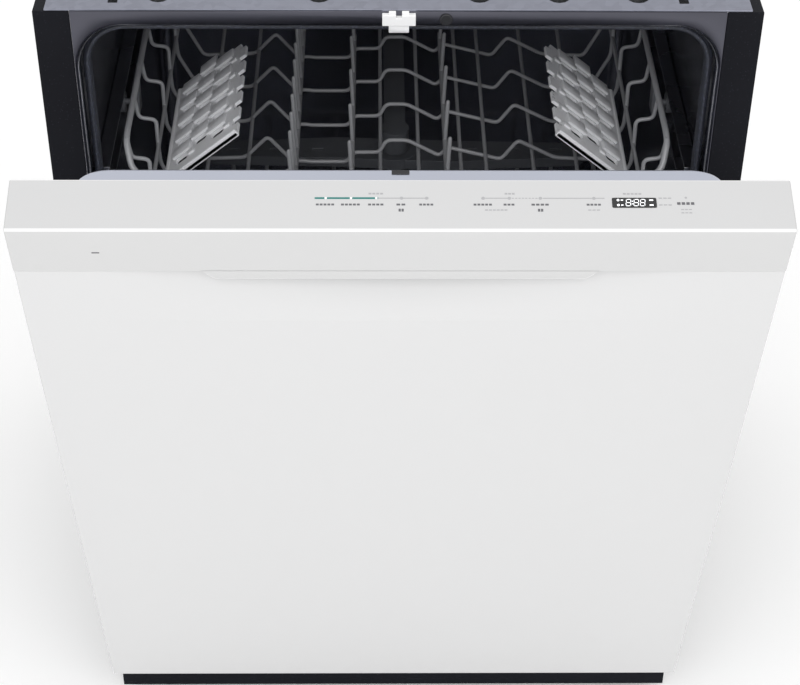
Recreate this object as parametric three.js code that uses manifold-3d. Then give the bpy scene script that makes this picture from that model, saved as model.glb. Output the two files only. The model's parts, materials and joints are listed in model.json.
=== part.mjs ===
// Built-in dishwasher, 24 inch class, with its door ajar.
// Millimetres, +Z up, front towards -Y, floor at Z = 0, origin in the middle of the footprint.
// Body parts are drawn from the plane of the tub's front flange (Y = 0 there), and door parts
// from the hinge axis with the door shut. Two groups then place them.

import * as THREE from 'three';
import { mergeVertices } from 'three/addons/utils/BufferGeometryUtils.js';
import Module from 'manifold-3d';

const wasm = await Module();
wasm.setup();

// ---------------------------------------------------------------- driving dimensions

const FLANGE_Y = -175;             // tub front flange plane in the object's frame
const REAR = 581.45;               // rear of the base, behind the flange plane
const TOP = 848;                   // top brace over the floor, feet screwed in

const TUB = { half: 271.5, bottom: 162, top: 832, rear: 560, corner: 40, wall: 3 };
const FLANGE = { half: 275, bottom: 150, top: 846, thick: 2 };
const TRIM = { inner: 275.3, step: 296, outer: 306, bottom: 215, top: 846, deep: 26 };
const BASE = { half: 290, front: 90, wall: 4, floor: 14, plate: 3, ledge: 155 };
const KICK = { half: 301, y: 11.4, bottom: 10, top: 52, sheet: 2, deep: 19 };
const LEG = { x: 262, front: 50, rear: 520, rod: 5, foot: 19, top: 62 };

const HINGE = { y: 12, z: 152.3 };
const DOOR_OPEN = 15.9;            // degrees from shut
const DOOR = { half: 303, front: -62, bottom: -67.3, top: 675, sheet: 2 };
const FASCIA = { bottom: 625.6, rear: -12.5, rise: 2.4, rearBottom: 650, wall: 3 };
const LIP = { half: 156, halfBottom: 147, drop: 10, thick: 4 };
const SCOOP = { x: 236, y: 22, z: 66, sheet: 2 };
const LINER = { half: 283, bottom: -5, top: 649.5, flange: -12.5, sheet: 2.2 };
const PLUG = { half: 262, bottom: 20, top: 670.5, back: 6, corner: 34 };
const WINDOW = { x: 179.5, y: -35.5, wide: 35, deep: 10, thick: 0.8 };

const SUMP = { y: 300, radius: 92, bottom: 58, pedestal: 12 };
const FILTER = { x: 55, radius: 29, plate: 104 };
const LOWER_ARM = { y: 300, z: 187, reach: 205 };
const UPPER_ARM = { y: 270, z: 535, reach: 200 };
const RAIL = { web: 270.6, lip: 258.5, bottom: 651, top: 679, front: 24, rear: 545, sheet: 2 };

const UPPER = { half: 246, mid: 226, floorHalf: 206, front: 32, rear: 505, rim: 690, belt: 640,
  floor: 575, wire: 2.5, wheelZ: 664, wheelR: 10.5, wheelFront: 165, wheelRear: 455,
  ribs: [58, 128, 198, 268, 338, 409, 479], runners: [-178, -108, -36, 36, 108, 178],
  tineX: -72, tines: [92, 156, 220, 284, 348, 412], tineTall: 76 };
const SHELF = { hingeX: 216, hingeZ: 645, tilt: 39, front: 45, rear: 215, wide: 92, thick: 3 };
const LOWER = { half: 238, floorHalf: 222, front: 58, rear: 515, rim: 390, belt: 300,
  floor: 212, wire: 2.5, wheelZ: 178.4, wheelR: 16, wheelFront: 118, wheelRear: 416, slope: 60,
  ribs: [118, 192, 267, 342, 416, 491], runners: [-190, -130, -70, -10, 130, 190],
  tineX: -100, tines: [155, 205, 255, 305, 355, 405, 455], tineTall: 86 };
const BASKET = { x: 118, front: 72, rear: 142, bottom: 222.5, top: 335, wall: 2.5 };
const TINES = { x: 60, z: 226, front: 190, rear: 490, tall: 78, count: 8 };

// ---------------------------------------------------------------- geometry helpers

const rad = THREE.MathUtils.degToRad;

/** Manifold solid of a closed three.js geometry. */
function solid(geometry) {
  const bare = geometry.clone();
  bare.deleteAttribute('normal');
  bare.deleteAttribute('uv');
  const merged = mergeVertices(bare, 1e-4);
  return new wasm.Manifold(new wasm.Mesh({
    numProp: 3,
    vertProperties: new Float32Array(merged.attributes.position.array),
    triVerts: new Uint32Array(merged.index.array),
  }));
}

/** three.js geometry of a manifold solid. */
function geometryOf(body) {
  const mesh = body.getMesh();
  const geometry = new THREE.BufferGeometry();
  geometry.setAttribute('position', new THREE.BufferAttribute(mesh.vertProperties, 3));
  geometry.setIndex(new THREE.BufferAttribute(mesh.triVerts, 1));
  geometry.computeVertexNormals();
  return geometry;
}

/** One geometry from several that touch, less the cutters. */
function shape(adds, cuts = []) {
  const first = solid(adds[0]);
  const whole = adds.slice(1).reduce((sum, item) => sum.add(solid(item)), first);
  const left = cuts.reduce((sum, item) => sum.subtract(solid(item)), whole);
  return geometryOf(left);
}

/** Box between two corners. */
function box(x0, x1, y0, y1, z0, z1) {
  const geometry = new THREE.BoxGeometry(x1 - x0, y1 - y0, z1 - z0);
  geometry.translate((x0 + x1) / 2, (y0 + y1) / 2, (z0 + z1) / 2);
  return geometry;
}

/** Outline from a list of [u, v] corners. */
function outline(points) {
  return new THREE.Shape(points.map(([u, v]) => new THREE.Vector2(u, v)));
}

/** Rounded rectangle as [u, v] corners, with its own radius below and above. */
function roundedPoints(u0, u1, v0, v1, low, high = low, steps = 5) {
  const corners = [
    [u1 - low, v0 + low, low, -90],
    [u1 - high, v1 - high, high, 0],
    [u0 + high, v1 - high, high, 90],
    [u0 + low, v0 + low, low, 180],
  ];
  return corners.flatMap(([u, v, r, start]) => Array.from({ length: steps + 1 }, (_, i) => {
    const angle = rad(start + (90 * i) / steps);
    return [u + r * Math.cos(angle), v + r * Math.sin(angle)];
  }));
}

/** Outline in (y, z) swept from x0 to x1. */
function alongX(points, x0, x1) {
  const geometry = new THREE.ExtrudeGeometry(outline(points), { depth: x1 - x0, bevelEnabled: false });
  const axes = new THREE.Matrix4().makeBasis(
    new THREE.Vector3(0, 1, 0), new THREE.Vector3(0, 0, 1), new THREE.Vector3(1, 0, 0));
  geometry.applyMatrix4(axes);
  geometry.translate(x0, 0, 0);
  return geometry;
}

/** Outline in (x, z) swept from y0 to y1. */
function alongY(points, y0, y1) {
  const geometry = new THREE.ExtrudeGeometry(outline(points), { depth: y1 - y0, bevelEnabled: false });
  geometry.rotateX(Math.PI / 2);
  geometry.translate(0, y1, 0);
  return geometry;
}

/** Outline in (x, y) swept from z0 to z1. */
function alongZ(points, z0, z1) {
  const geometry = new THREE.ExtrudeGeometry(outline(points), { depth: z1 - z0, bevelEnabled: false });
  geometry.translate(0, 0, z0);
  return geometry;
}

/** Round bar between two points on one axis ('x', 'y' or 'z'). */
function bar(axis, radius, from, to, centre, sides = 16) {
  const geometry = new THREE.CylinderGeometry(radius, radius, to - from, sides);
  if (axis === 'x') geometry.rotateZ(-Math.PI / 2);
  if (axis === 'z') geometry.rotateX(Math.PI / 2);
  const middle = (from + to) / 2;
  const place = { x: [middle, ...centre], y: [centre[0], middle, centre[1]], z: [...centre, middle] };
  geometry.translate(...place[axis]);
  return geometry;
}

/** Turned shape about a vertical axis from [radius, height] points that start and end on the axis. */
function turned(points, x, y, sides = 24) {
  const profile = points.map(([r, z]) => new THREE.Vector2(r, z));
  const geometry = new THREE.LatheGeometry(profile, sides);
  geometry.rotateX(Math.PI / 2);
  geometry.translate(x, y, 0);
  return geometry;
}

/** Turned shape about an axis along X, for wheels. */
function wheelShape(radius, width, bore, centre, sides = 14) {
  const half = width / 2;
  const rim = [[bore, -half], [radius - 2, -half], [radius, -half + 2], [radius, half - 2],
    [radius - 2, half], [bore, half], [bore, -half]];
  const geometry = new THREE.LatheGeometry(rim.map(([r, h]) => new THREE.Vector2(r, h)), sides);
  geometry.rotateZ(-Math.PI / 2);
  geometry.translate(...centre);
  return geometry;
}

/** Wire of regular section through corner points, with mitred bends. */
function wire(points, radius, { sides = 6, closed = false } = {}) {
  const path = points.map((p) => new THREE.Vector3(...p));
  const count = path.length;
  const spans = closed ? count : count - 1;
  const heading = path.slice(0, spans).map((p, i) => path[(i + 1) % count].clone().sub(p).normalize());
  const mitre = path.map((_, i) => {
    const before = closed ? heading[(i + count - 1) % count] : heading[Math.max(i - 1, 0)];
    const after = heading[Math.min(i, spans - 1)];
    return before.clone().add(after).normalize();
  });
  const flat = Math.abs(heading[0].z) > 0.9 ? new THREE.Vector3(0, 1, 0) : new THREE.Vector3(0, 0, 1);
  const side = new THREE.Vector3().crossVectors(heading[0], flat).normalize();
  const up = new THREE.Vector3().crossVectors(side, heading[0]);
  const start = path[0].clone().addScaledVector(heading[0], closed ? -1 : 0);
  let ring = Array.from({ length: sides }, (_, k) => {
    const angle = (2 * Math.PI * (k + 0.5)) / sides;
    return start.clone()
      .addScaledVector(side, radius * Math.cos(angle))
      .addScaledVector(up, radius * Math.sin(angle));
  });
  const rings = path.map((corner, i) => {
    const along = closed && i === 0 ? heading[0] : heading[Math.max(i - 1, 0)];
    ring = ring.map((p) => {
      const reach = corner.clone().sub(p).dot(mitre[i]) / along.dot(mitre[i]);
      return p.clone().addScaledVector(along, reach);
    });
    return ring;
  });
  return tubeOf(rings, closed);
}

/** Closed skin over equal rings of points, capped at both ends unless they form a loop. */
function tubeOf(rings, closed) {
  const sides = rings[0].length;
  const position = rings.flat().flatMap((p) => [p.x, p.y, p.z]);
  const index = [];
  const spans = closed ? rings.length : rings.length - 1;
  for (let i = 0; i < spans; i += 1) {
    const next = (i + 1) % rings.length;
    for (let k = 0; k < sides; k += 1) {
      const a = i * sides + k;
      const b = i * sides + ((k + 1) % sides);
      const c = next * sides + k;
      const d = next * sides + ((k + 1) % sides);
      index.push(a, d, b, a, c, d);
    }
  }
  if (!closed) {
    const last = (rings.length - 1) * sides;
    for (let k = 1; k < sides - 1; k += 1) {
      index.push(0, k, k + 1, last, last + k + 1, last + k);
    }
  }
  const geometry = new THREE.BufferGeometry();
  geometry.setAttribute('position', new THREE.Float32BufferAttribute(position, 3));
  geometry.setIndex(index);
  return geometry;
}

/** Corner points at one height around a rounded rectangle. */
function loopAt(half, front, rear, z, corner) {
  return roundedPoints(-half, half, front, rear, corner, corner, 2).map(([x, y]) => [x, y, z]);
}

/** Evenly spaced values from a to b. */
function spaced(a, b, count) {
  return Array.from({ length: count }, (_, i) => a + ((b - a) * i) / (count - 1));
}

/** Named mesh in one material. */
function part(name, geometry, look) {
  const mesh = new THREE.Mesh(geometry, new THREE.MeshStandardMaterial(look));
  mesh.name = name;
  return mesh;
}

// ---------------------------------------------------------------- colours

const WHITE_ENAMEL = { color: 0xe9e9e8, roughness: 0.35, metalness: 0 };
const WHITE_PLASTIC = { color: 0xe2e2e1, roughness: 0.4, metalness: 0 };
const BRIGHT_WHITE = { color: 0xf6f6f6, roughness: 0.45, metalness: 0 };
const STAINLESS = { color: 0x8d9096, roughness: 0.3, metalness: 1 };
const LINER_STEEL = { color: 0x9a9ca2, roughness: 0.3, metalness: 1 };
const GALVANISED = { color: 0xa9b4bd, roughness: 0.4, metalness: 1 };
const BLACK_PLASTIC = { color: 0x1b1c20, roughness: 0.55, metalness: 0 };
const BLACK_PAINT = { color: 0x202227, roughness: 0.5, metalness: 0.2 };
const BLACK_GLASS = { color: 0x050506, roughness: 0.1, metalness: 0 };
const RUBBER = { color: 0x2b2d36, roughness: 0.8, metalness: 0 };
const GREY_PLASTIC = { color: 0x6d7076, roughness: 0.5, metalness: 0 };
const WIRE_GREY = { color: 0x8a8c92, roughness: 0.4, metalness: 0 };
const CLEAR_PLASTIC = { color: 0xc9cacd, roughness: 0.25, metalness: 0, transparent: true, opacity: 0.7 };
const FELT = { color: 0x2e2f31, roughness: 0.95, metalness: 0 };
const BOARD_GREEN = { color: 0x2f5b3c, roughness: 0.6, metalness: 0 };
const ELEMENT_STEEL = { color: 0x74767b, roughness: 0.35, metalness: 1 };

// ---------------------------------------------------------------- tub and body shell

function tub() {
  const { half, bottom, top, rear, corner, wall } = TUB;
  const outside = alongY(
    roundedPoints(-half - wall, half + wall, bottom - wall, top + wall, corner + wall), 0, rear + wall);
  const flange = box(-FLANGE.half, FLANGE.half, 0, FLANGE.thick, FLANGE.bottom, FLANGE.top);
  const hollow = alongY(roundedPoints(-half, half, bottom, top, corner), -5, rear);
  const drain = bar('z', SUMP.radius, bottom - 20, bottom + 20, [0, SUMP.y], 24);
  const terminals = [-30, 30].map((x) => bar('z', 6, bottom - 20, bottom + 20, [x, 455], 8));
  return part('tub', shape([outside, flange], [hollow, drain, ...terminals]), STAINLESS);
}

function tubGasket() {
  const inset = 4.3;
  const x = TUB.half - inset;
  const z = TUB.top - inset;
  const r = TUB.corner - inset;
  const y = 16.5;
  const arc = (cx, start) => Array.from({ length: 5 }, (_, i) => {
    const angle = rad(start - (90 * i) / 4);
    return [cx + r * Math.cos(angle), y, z - r + r * Math.sin(angle)];
  });
  const path = [[-x, y, 206], ...arc(-x + r, 180), ...arc(x - r, 90), [x, y, 206]];
  return part('tub_gasket', wire(path, 4), RUBBER);
}

function sideTrim(name, side) {
  const { inner, step, outer, bottom, top, deep } = TRIM;
  const span = (a, b) => (side < 0 ? [-b, -a] : [a, b]);
  const web = box(...span(inner, step + 1), 0.3, 2.3, bottom, top);
  const lip = box(...span(step, outer), 0.3, deep, bottom, top);
  return part(name, shape([web, lip]), BLACK_PLASTIC);
}

function topBrace() {
  const plate = box(-TRIM.step, TRIM.step, 0.3, 72, TOP - 1.6, TOP);
  const holes = [-202, -67, 68, 135, 202].map((x) => bar('z', 9, TOP - 5, TOP + 5, [x, 22], 12));
  const slots = [-240, 240].map((x) => box(x - 4, x + 4, 12, 30, TOP - 5, TOP + 5));
  return part('top_brace', shape([plate], [...holes, ...slots]), GALVANISED);
}

function latchStrike() {
  const crossbar = box(-14, 14, -6, -0.3, 836, 845.5);
  const tab = box(-8.5, 8.5, -5, -0.3, 830.6, 847.5);
  const step = box(-8.5, 8.5, -5, 3, 830.6, 831.6);
  const foot = box(-8.5, 8.5, 0.3, 10, 826.4, 831.6);
  const eye = box(-4.5, 4.5, 2, 7, 820, 833);
  const notch = box(-2.5, 2.5, -10, 0, 843, 850);
  return part('latch_strike', shape([crossbar, tab, step, foot], [eye, notch]), BRIGHT_WHITE);
}

function flangeBumper() {
  return part('flange_bumper', bar('y', 5.5, -2.6, -0.3, [39.5, 839.5], 12), BLACK_PLASTIC);
}

function insulationBlanket() {
  const inner = roundedPoints(-275, 275, 150, 835.5, 43.5);
  const outer = roundedPoints(-281, 281, 166, 841.5, 20, 48);
  const wrap = alongY(outer, 30, 572);
  const room = alongY(inner, 20, 563.5);
  const underside = box(-272, 272, 20, 563.4, 150, 230);
  return part('insulation_blanket', shape([wrap], [room, underside]), FELT);
}

// ---------------------------------------------------------------- base

function baseFrame() {
  const { half, front, wall, floor, plate, ledge } = BASE;
  const adds = [box(-half, half, front, REAR, floor, floor + plate)];
  adds.push(box(-half, half, REAR - wall, REAR, floor, 146));
  for (const side of [-1, 1]) {
    const span = (a, b) => (side < 0 ? [-b, -a] : [a, b]);
    adds.push(box(...span(half - wall, half), front, REAR, floor, ledge + 3.6));
    adds.push(box(...span(262, half), front, 560, ledge, ledge + 3.6));
    adds.push(box(...span(half - wall, half), 18, front + 5, floor, 50));
    adds.push(box(...span(240, half), 18, front + 5, floor, floor + plate));
    adds.push(...hingeBracket(side));
    for (const y of [LEG.front, LEG.rear]) {
      adds.push(bar('z', 9, floor, 58, [side * LEG.x, y], 10));
    }
  }
  const holes = [-1, 1].flatMap((side) => [LEG.front, LEG.rear]
    .map((y) => bar('z', LEG.rod + 0.7, 5, 80, [side * LEG.x, y], 12)));
  const hosePort = bar('y', 14, REAR - 20, REAR + 20, [-180, 60], 12);
  return part('base_frame', shape(adds, [...holes, hosePort]), BLACK_PAINT);
}

function toeKick() {
  const { half, y, bottom, top, sheet, deep } = KICK;
  const adds = [
    box(-half, half, y, y + sheet, bottom, top),
    box(-half, half, y, y + deep, top - sheet, top),
    box(-half, -half + sheet, y, y + deep, bottom, top),
    box(half - sheet, half, y, y + deep, bottom, top),
  ];
  return part('toe_kick', shape(adds), BLACK_PAINT);
}

function accessPanel() {
  const plate = box(-274, 274, 86, 88, 54, 143);
  const hem = box(-274, 274, 86, 89.5, 54, 58);
  const screws = [-250, 250].map((x) => bar('y', 3, 80, 95, [x, 120], 8));
  return part('access_panel', shape([plate, hem], screws), BLACK_PAINT);
}

function leg(name, x, y) {
  const { rod, foot, top } = LEG;
  const profile = [[0, 0], [foot, 0], [foot, 4], [11, 8], [rod, 8], [rod, top], [0, top]];
  return part(name, turned(profile, x, y, 12), GALVANISED);
}

/** Pivot plate and pin that stand forward of the base on one side. */
function hingeBracket(side) {
  const { y, z } = HINGE;
  const span = (a, b) => (side < 0 ? [-b, -a] : [a, b]);
  const plate = [[y - 11, z], [y - 8, z - 8], [y - 3, z - 11.3], [y + 7, z - 11.3], [y + 15, z - 34],
    [118, z - 34], [118, z - 3], [y + 14, z - 3], [y + 8, z + 8], [y - 8, z + 8]];
  const [pin0, pin1] = span(280, 293);
  return [alongX(plate, ...span(277, 283)), box(...span(282, BASE.half - 2), 94, 118, z - 32, z - 6),
    bar('x', 5, pin0, pin1, [y, z], 12)];
}

function junctionBox() {
  const shell = box(190, 258, 112, 168, 17.4, 76);
  const gland = bar('y', 9, 100, 114, [224, 44], 12);
  return part('junction_box', shape([shell, gland]), GALVANISED);
}

function inletValve() {
  const block = box(-232, -196, 128, 176, 44, 76);
  const port = bar('y', 9, 104, 130, [-214, 60], 12);
  const coil = bar('z', 15, 74, 108, [-214, 152], 12);
  const foot = box(-226, -202, 140, 164, 17.4, 46);
  return part('inlet_valve', shape([block, port, coil, foot]), GREY_PLASTIC);
}

// ---------------------------------------------------------------- water system

function sump() {
  const { y, radius, bottom, pedestal } = SUMP;
  const cup = [[0, bottom], [56, bottom], [70, bottom + 12], [radius - 4, 116], [radius + 1, 150],
    [radius + 16, 154], [radius + 16, 158.6], [radius - 2, 158.6], [radius - 8, 118],
    [66, bottom + 16], [0, bottom + 5]];
  const stem = bar('z', pedestal, bottom + 2, LOWER_ARM.z - 1, [0, y], 12);
  return part('sump', shape([turned(cup, 0, y, 24), stem]), GREY_PLASTIC);
}

function circulationPump() {
  const centre = [SUMP.y, 100];
  const volute = bar('x', 46, 112, 138, centre, 16);
  const motor = bar('x', 38, 136, 232, centre, 16);
  const neck = bar('x', 14, 96, 114, centre, 12);
  const saddle = box(160, 200, SUMP.y - 20, SUMP.y + 20, 17.4, 70);
  return part('circulation_pump', shape([volute, motor, neck, saddle]), GREY_PLASTIC);
}

function drainPump() {
  const centre = [SUMP.y, 84];
  const motor = bar('x', 24, -176, -112, centre, 14);
  const neck = bar('x', 11, -114, -90, centre, 10);
  const outlet = bar('y', 8, SUMP.y, SUMP.y + 44, [-124, 84], 10);
  const saddle = box(-158, -130, SUMP.y - 12, SUMP.y + 12, 17.4, 66);
  return part('drain_pump', shape([motor, neck, outlet, saddle]), BLACK_PLASTIC);
}

function heatingElement() {
  const z = 173;
  const path = [[-30, 455, 146], [-30, 455, z - 5], [-40, 452, z], [-140, 430, z], [-186, 360, z],
    [-186, 240, z], [-130, 170, z], [130, 170, z], [186, 240, z], [186, 360, z], [140, 430, z],
    [40, 452, z], [30, 455, z - 5], [30, 455, 146]];
  return part('heating_element', wire(path, 4), ELEMENT_STEEL);
}

function filterPlate() {
  const plate = bar('z', FILTER.plate, 162.4, 164.4, [0, SUMP.y], 28);
  const cupHole = bar('z', FILTER.radius + 1.5, 150, 170, [FILTER.x, SUMP.y], 16);
  const stemHole = bar('z', SUMP.pedestal + 1.5, 150, 170, [0, SUMP.y], 12);
  return part('filter_plate', shape([plate], [cupHole, stemHole]), ELEMENT_STEEL);
}

function filterCup() {
  const r = FILTER.radius;
  const cup = [[0, 124], [r, 124], [r, 168], [r - 2.5, 168], [r - 2.5, 127], [0, 127]];
  const grip = box(FILTER.x - r + 1, FILTER.x + r - 1, SUMP.y - 3, SUMP.y + 3, 158, 174);
  return part('filter_cup', shape([turned(cup, FILTER.x, SUMP.y, 16), grip]), GREY_PLASTIC);
}

function overfillFloat() {
  const profile = [[0, 162.4], [14, 162.4], [16, 165], [15, 176], [9, 181], [0, 182]];
  return part('float', turned(profile, 156, 104, 14), GREY_PLASTIC);
}

/** Two-bladed spray arm: tapered blades and a hub, centred on (0, y). */
function sprayArm(name, y, z, reach, hubLow, hubHigh) {
  const blade = (side) => [[0, -21 * side], [side * 60, -24 * side], [side * (reach - 10), -15 * side],
    [side * reach, -5 * side], [side * reach, 6 * side], [side * (reach - 12), 13 * side],
    [side * 60, 17 * side], [0, 21 * side]];
  const points = [...blade(1), ...blade(-1).slice(1, -1)].map(([u, v]) => [u, y + v]);
  const hub = bar('z', 24, hubLow, hubHigh, [0, y], 16);
  const jets = [-1, 1].flatMap((side) => [0.4, 0.62, 0.84]
    .map((f) => box(side * f * reach - 6, side * f * reach + 6, y - 1.5, y + 1.5, z + 7, z + 20)));
  return part(name, shape([alongZ(points, z, z + 11), hub], jets), GREY_PLASTIC);
}

function feedTube() {
  const path = [[0, 545, 162.6], [0, 545, 804], [0, 541, 814], [0, 531, 818], [0, 310, 818],
    [0, 302, 813], [0, 300, 808], [0, 300, 800]];
  const riser = wire(path, 10.5, { sides: 8 });
  const port = bar('y', 13, 525, 546, [0, 562], 12);
  const head = [[0, 784], [36, 786], [40, 790], [36, 794], [14, 797], [13, 803], [0, 803]];
  return part('feed_tube', shape([riser, port, turned(head, 0, 300, 18)]), GREY_PLASTIC);
}

function upperRail(name, side) {
  const { web, lip, bottom, top, front, rear, sheet } = RAIL;
  const section = [[lip, bottom], [web, bottom], [web, top], [lip, top], [lip, top - sheet],
    [web - sheet, top - sheet], [web - sheet, bottom + sheet], [lip, bottom + sheet]];
  const points = side < 0 ? section.map(([x, z]) => [-x, z]).reverse() : section;
  const [x0, x1] = side < 0 ? [-web, -lip] : [lip, web];
  const stop = box(x0, x1, front, front + 3, bottom, top);
  const back = box(x0, x1, rear - 3, rear, bottom, top);
  return part(name, shape([alongY(points, front, rear), stop, back]), LINER_STEEL);
}

// ---------------------------------------------------------------- door, drawn shut about its hinge

function doorPanel() {
  const { half, front, bottom, sheet } = DOOR;
  const top = FASCIA.bottom - 0.3;
  const cheek = [[front, bottom], [-40, bottom], [-40, 0], [-15, 30], [-15, top], [front, top]];
  const oval = (grow) => {
    const ball = new THREE.SphereGeometry(1, 24, 12);
    ball.scale(SCOOP.x + grow, SCOOP.y + grow, SCOOP.z + grow);
    ball.translate(0, front, top);
    return ball;
  };
  const cap = box(-half, half, front + 0.5, front + 60, bottom, top);
  const bulge = geometryOf(solid(oval(SCOOP.sheet)).intersect(solid(cap)));
  const adds = [
    box(-half, half, front, front + sheet, bottom, top),
    alongX(cheek, -half, -half + sheet),
    alongX(cheek, half - sheet, half),
    box(-half, half, front, -40, bottom, bottom + sheet),
    bulge,
  ];
  return part('door_panel', shape(adds, [oval(0)]), WHITE_ENAMEL);
}

function doorFascia() {
  const { half, front, top } = DOOR;
  const { bottom, rear, rise, rearBottom, wall } = FASCIA;
  const skin = [[front, bottom], [front + wall, bottom], [front + wall, top - wall - 1],
    [rear - wall, top + rise - wall - 1], [rear - wall, rearBottom], [rear, rearBottom],
    [rear, top + rise - 1.5], [rear - 1.5, top + rise], [front + 4, top + 0.2],
    [front + 1.2, top - 1.2], [front, top - 4]];
  const end = [[front, bottom], [rear, bottom + 4], [rear, top + rise - 1.5],
    [rear - 1.5, top + rise], [front + 4, top + 0.2], [front + 1.2, top - 1.2], [front, top - 4]];
  const lip = alongY([[-LIP.halfBottom, bottom - LIP.drop], [LIP.halfBottom, bottom - LIP.drop],
    [LIP.half, bottom + 0.5], [-LIP.half, bottom + 0.5]], front, front + LIP.thick);
  const pocket = box(-WINDOW.wide / 2 - 0.3, WINDOW.wide / 2 + 0.3, -WINDOW.deep / 2 - 0.3,
    WINDOW.deep / 2 + 0.3, -WINDOW.thick - 0.3, 5);
  pocket.applyMatrix4(windowPlace());
  const adds = [alongX(skin, -half, half), alongX(end, -half, -half + wall),
    alongX(end, half - wall, half), lip];
  return part('door_fascia', shape(adds, [pocket]), WHITE_PLASTIC);
}

/** Where the display sits: on the sloping control surface. */
function windowPlace() {
  const slope = Math.atan(FASCIA.rise / (FASCIA.rear - DOOR.front));
  const lift = DOOR.top + (WINDOW.y - DOOR.front) * Math.tan(slope);
  const turn = new THREE.Matrix4().makeRotationX(slope);
  return new THREE.Matrix4().makeTranslation(WINDOW.x, WINDOW.y, lift).multiply(turn);
}

function displayWindow() {
  const plate = box(-WINDOW.wide / 2, WINDOW.wide / 2, -WINDOW.deep / 2, WINDOW.deep / 2,
    -WINDOW.thick, 0);
  plate.applyMatrix4(windowPlace());
  return part('display_window', plate, BLACK_GLASS);
}

function controlBoard() {
  const adds = [
    box(-110, 214, -55, -22, 660, 661.6),
    box(160, 199, -45, -26, 661, 668),
    box(-90, -60, -50, -28, 661, 667),
    box(20, 70, -48, -26, 654, 661),
  ];
  return part('control_board', shape(adds), BOARD_GREEN);
}

function doorInsulation() {
  return part('door_insulation', box(-280, 280, DOOR.front + DOOR.sheet + 0.4, -44, -55, 556), FELT);
}

function doorLiner() {
  const { half, bottom, top, flange, sheet } = LINER;
  const plug = PLUG;
  const rim = roundedPoints(-plug.half, plug.half, plug.bottom, plug.top, plug.corner);
  const hollow = roundedPoints(-plug.half + sheet, plug.half - sheet, plug.bottom + sheet,
    plug.top - sheet, plug.corner - sheet);
  const pan = alongY(rim, flange - sheet, plug.back);
  const plate = box(-half, half, flange - sheet, flange, bottom, top);
  const inside = alongY(hollow, flange - sheet - 5, plug.back - sheet);
  const clearFascia = box(-300, 300, flange - 10, flange + 0.3, top, top + 40);
  const dispenserHole = box(-92, 42, plug.back - 10, plug.back + 5, 333, 447);
  const latchSlot = box(-8, 8, -2.2, 3.2, 650, 690);
  return part('door_liner',
    shape([pan, plate], [inside, clearFascia, dispenserHole, latchSlot]), LINER_STEEL);
}

function dispenserBody() {
  const y = PLUG.back;
  const plate = box(-99, 49, y + 0.3, y + 3, 327, 453);
  const cup = box(-90, 40, y - 30, y + 0.6, 335, 445);
  const well = box(-82, -20, y - 27, y + 10, 351, 429);
  const rinseTank = box(-8, 34, y - 28, y - 2, 341, 439);
  const rinseNeck = bar('y', 11, y - 5, y + 10, [13, 390], 12);
  return part('dispenser_body', shape([plate, cup], [well, rinseTank, rinseNeck]), GREY_PLASTIC);
}

function dispenserLid() {
  const y = PLUG.back + 3.3;
  const plate = box(-86, -16, y, y + 3, 347, 433);
  const grip = box(-62, -40, y + 2, y + 7, 424, 430);
  return part('dispenser_lid', shape([plate, grip]), GREY_PLASTIC);
}

function rinseCap() {
  const y = PLUG.back + 3.3;
  const disc = bar('y', 17, y, y + 4, [13, 390], 16);
  const ridge = box(-1, 27, y + 3, y + 9, 387.5, 392.5);
  return part('rinse_cap', shape([disc, ridge]), BLACK_PLASTIC);
}

function doorLatch() {
  const bolt = box(-7, 7, -1.6, 2.6, 640, 671.5);
  const heel = box(-12, 12, -1.6, 2.6, 638, 646);
  return part('door_latch', shape([bolt, heel]), BLACK_PLASTIC);
}

function hingeArm(name, side) {
  const plate = [[-56, -14], [0, -11], [8, -8], [11, 0], [8, 8], [0, 11], [-18, 16], [-18, 160],
    [-56, 160]];
  const [x0, x1] = side < 0 ? [-290, -286] : [286, 290];
  const eye = bar('x', 5.6, x0 - 5, x1 + 5, [0, 0], 12);
  return part(name, shape([alongX(plate, x0, x1)], [eye]), GALVANISED);
}

// ---------------------------------------------------------------- upper rack

/** Short bracket and stub axle that carry one rack wheel. */
function wheelMount(side, inner, plate, axleEnd, y, low, high, axleZ) {
  const span = (a, b) => (side < 0 ? [-b, -a] : [a, b]);
  const [axle0, axle1] = span(inner, axleEnd);
  return [box(...span(inner, inner + plate), y - 9, y + 9, low, high),
    bar('x', 3, axle0, axle1, [y, axleZ], 8)];
}

function upperRackWalls() {
  const r = UPPER.wire;
  const { half, mid, floorHalf, front, rear, rim, belt, floor } = UPPER;
  const rib = (side, y) => [[side * half, y, rim], [side * mid, y, belt], [side * mid, y, floor + 25],
    [side * floorHalf, y, floor]];
  const adds = [
    wire(loopAt(half, front, rear, rim, 22), r + 0.5, { closed: true }),
    wire(loopAt(mid, front + 3, rear - 3, belt, 14), r, { closed: true }),
    ...UPPER.ribs.flatMap((y) => [-1, 1].map((side) => wire(rib(side, y), r))),
    ...UPPER.runners.map((x) => wire([[x, front + 1, rim], [x, front + 8, floor + 3.5]], r)),
    ...UPPER.runners.map((x) => wire([[x, rear - 1, rim], [x, rear - 8, floor + 3.5]], r)),
  ];
  for (const side of [-1, 1]) {
    for (const y of [UPPER.wheelFront, UPPER.wheelRear]) {
      adds.push(...wheelMount(side, half - 1, 4, 267, y, UPPER.wheelZ - 9, rim + 1, UPPER.wheelZ));
    }
  }
  return part('upper_rack_walls', shape(adds), WIRE_GREY);
}

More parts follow.
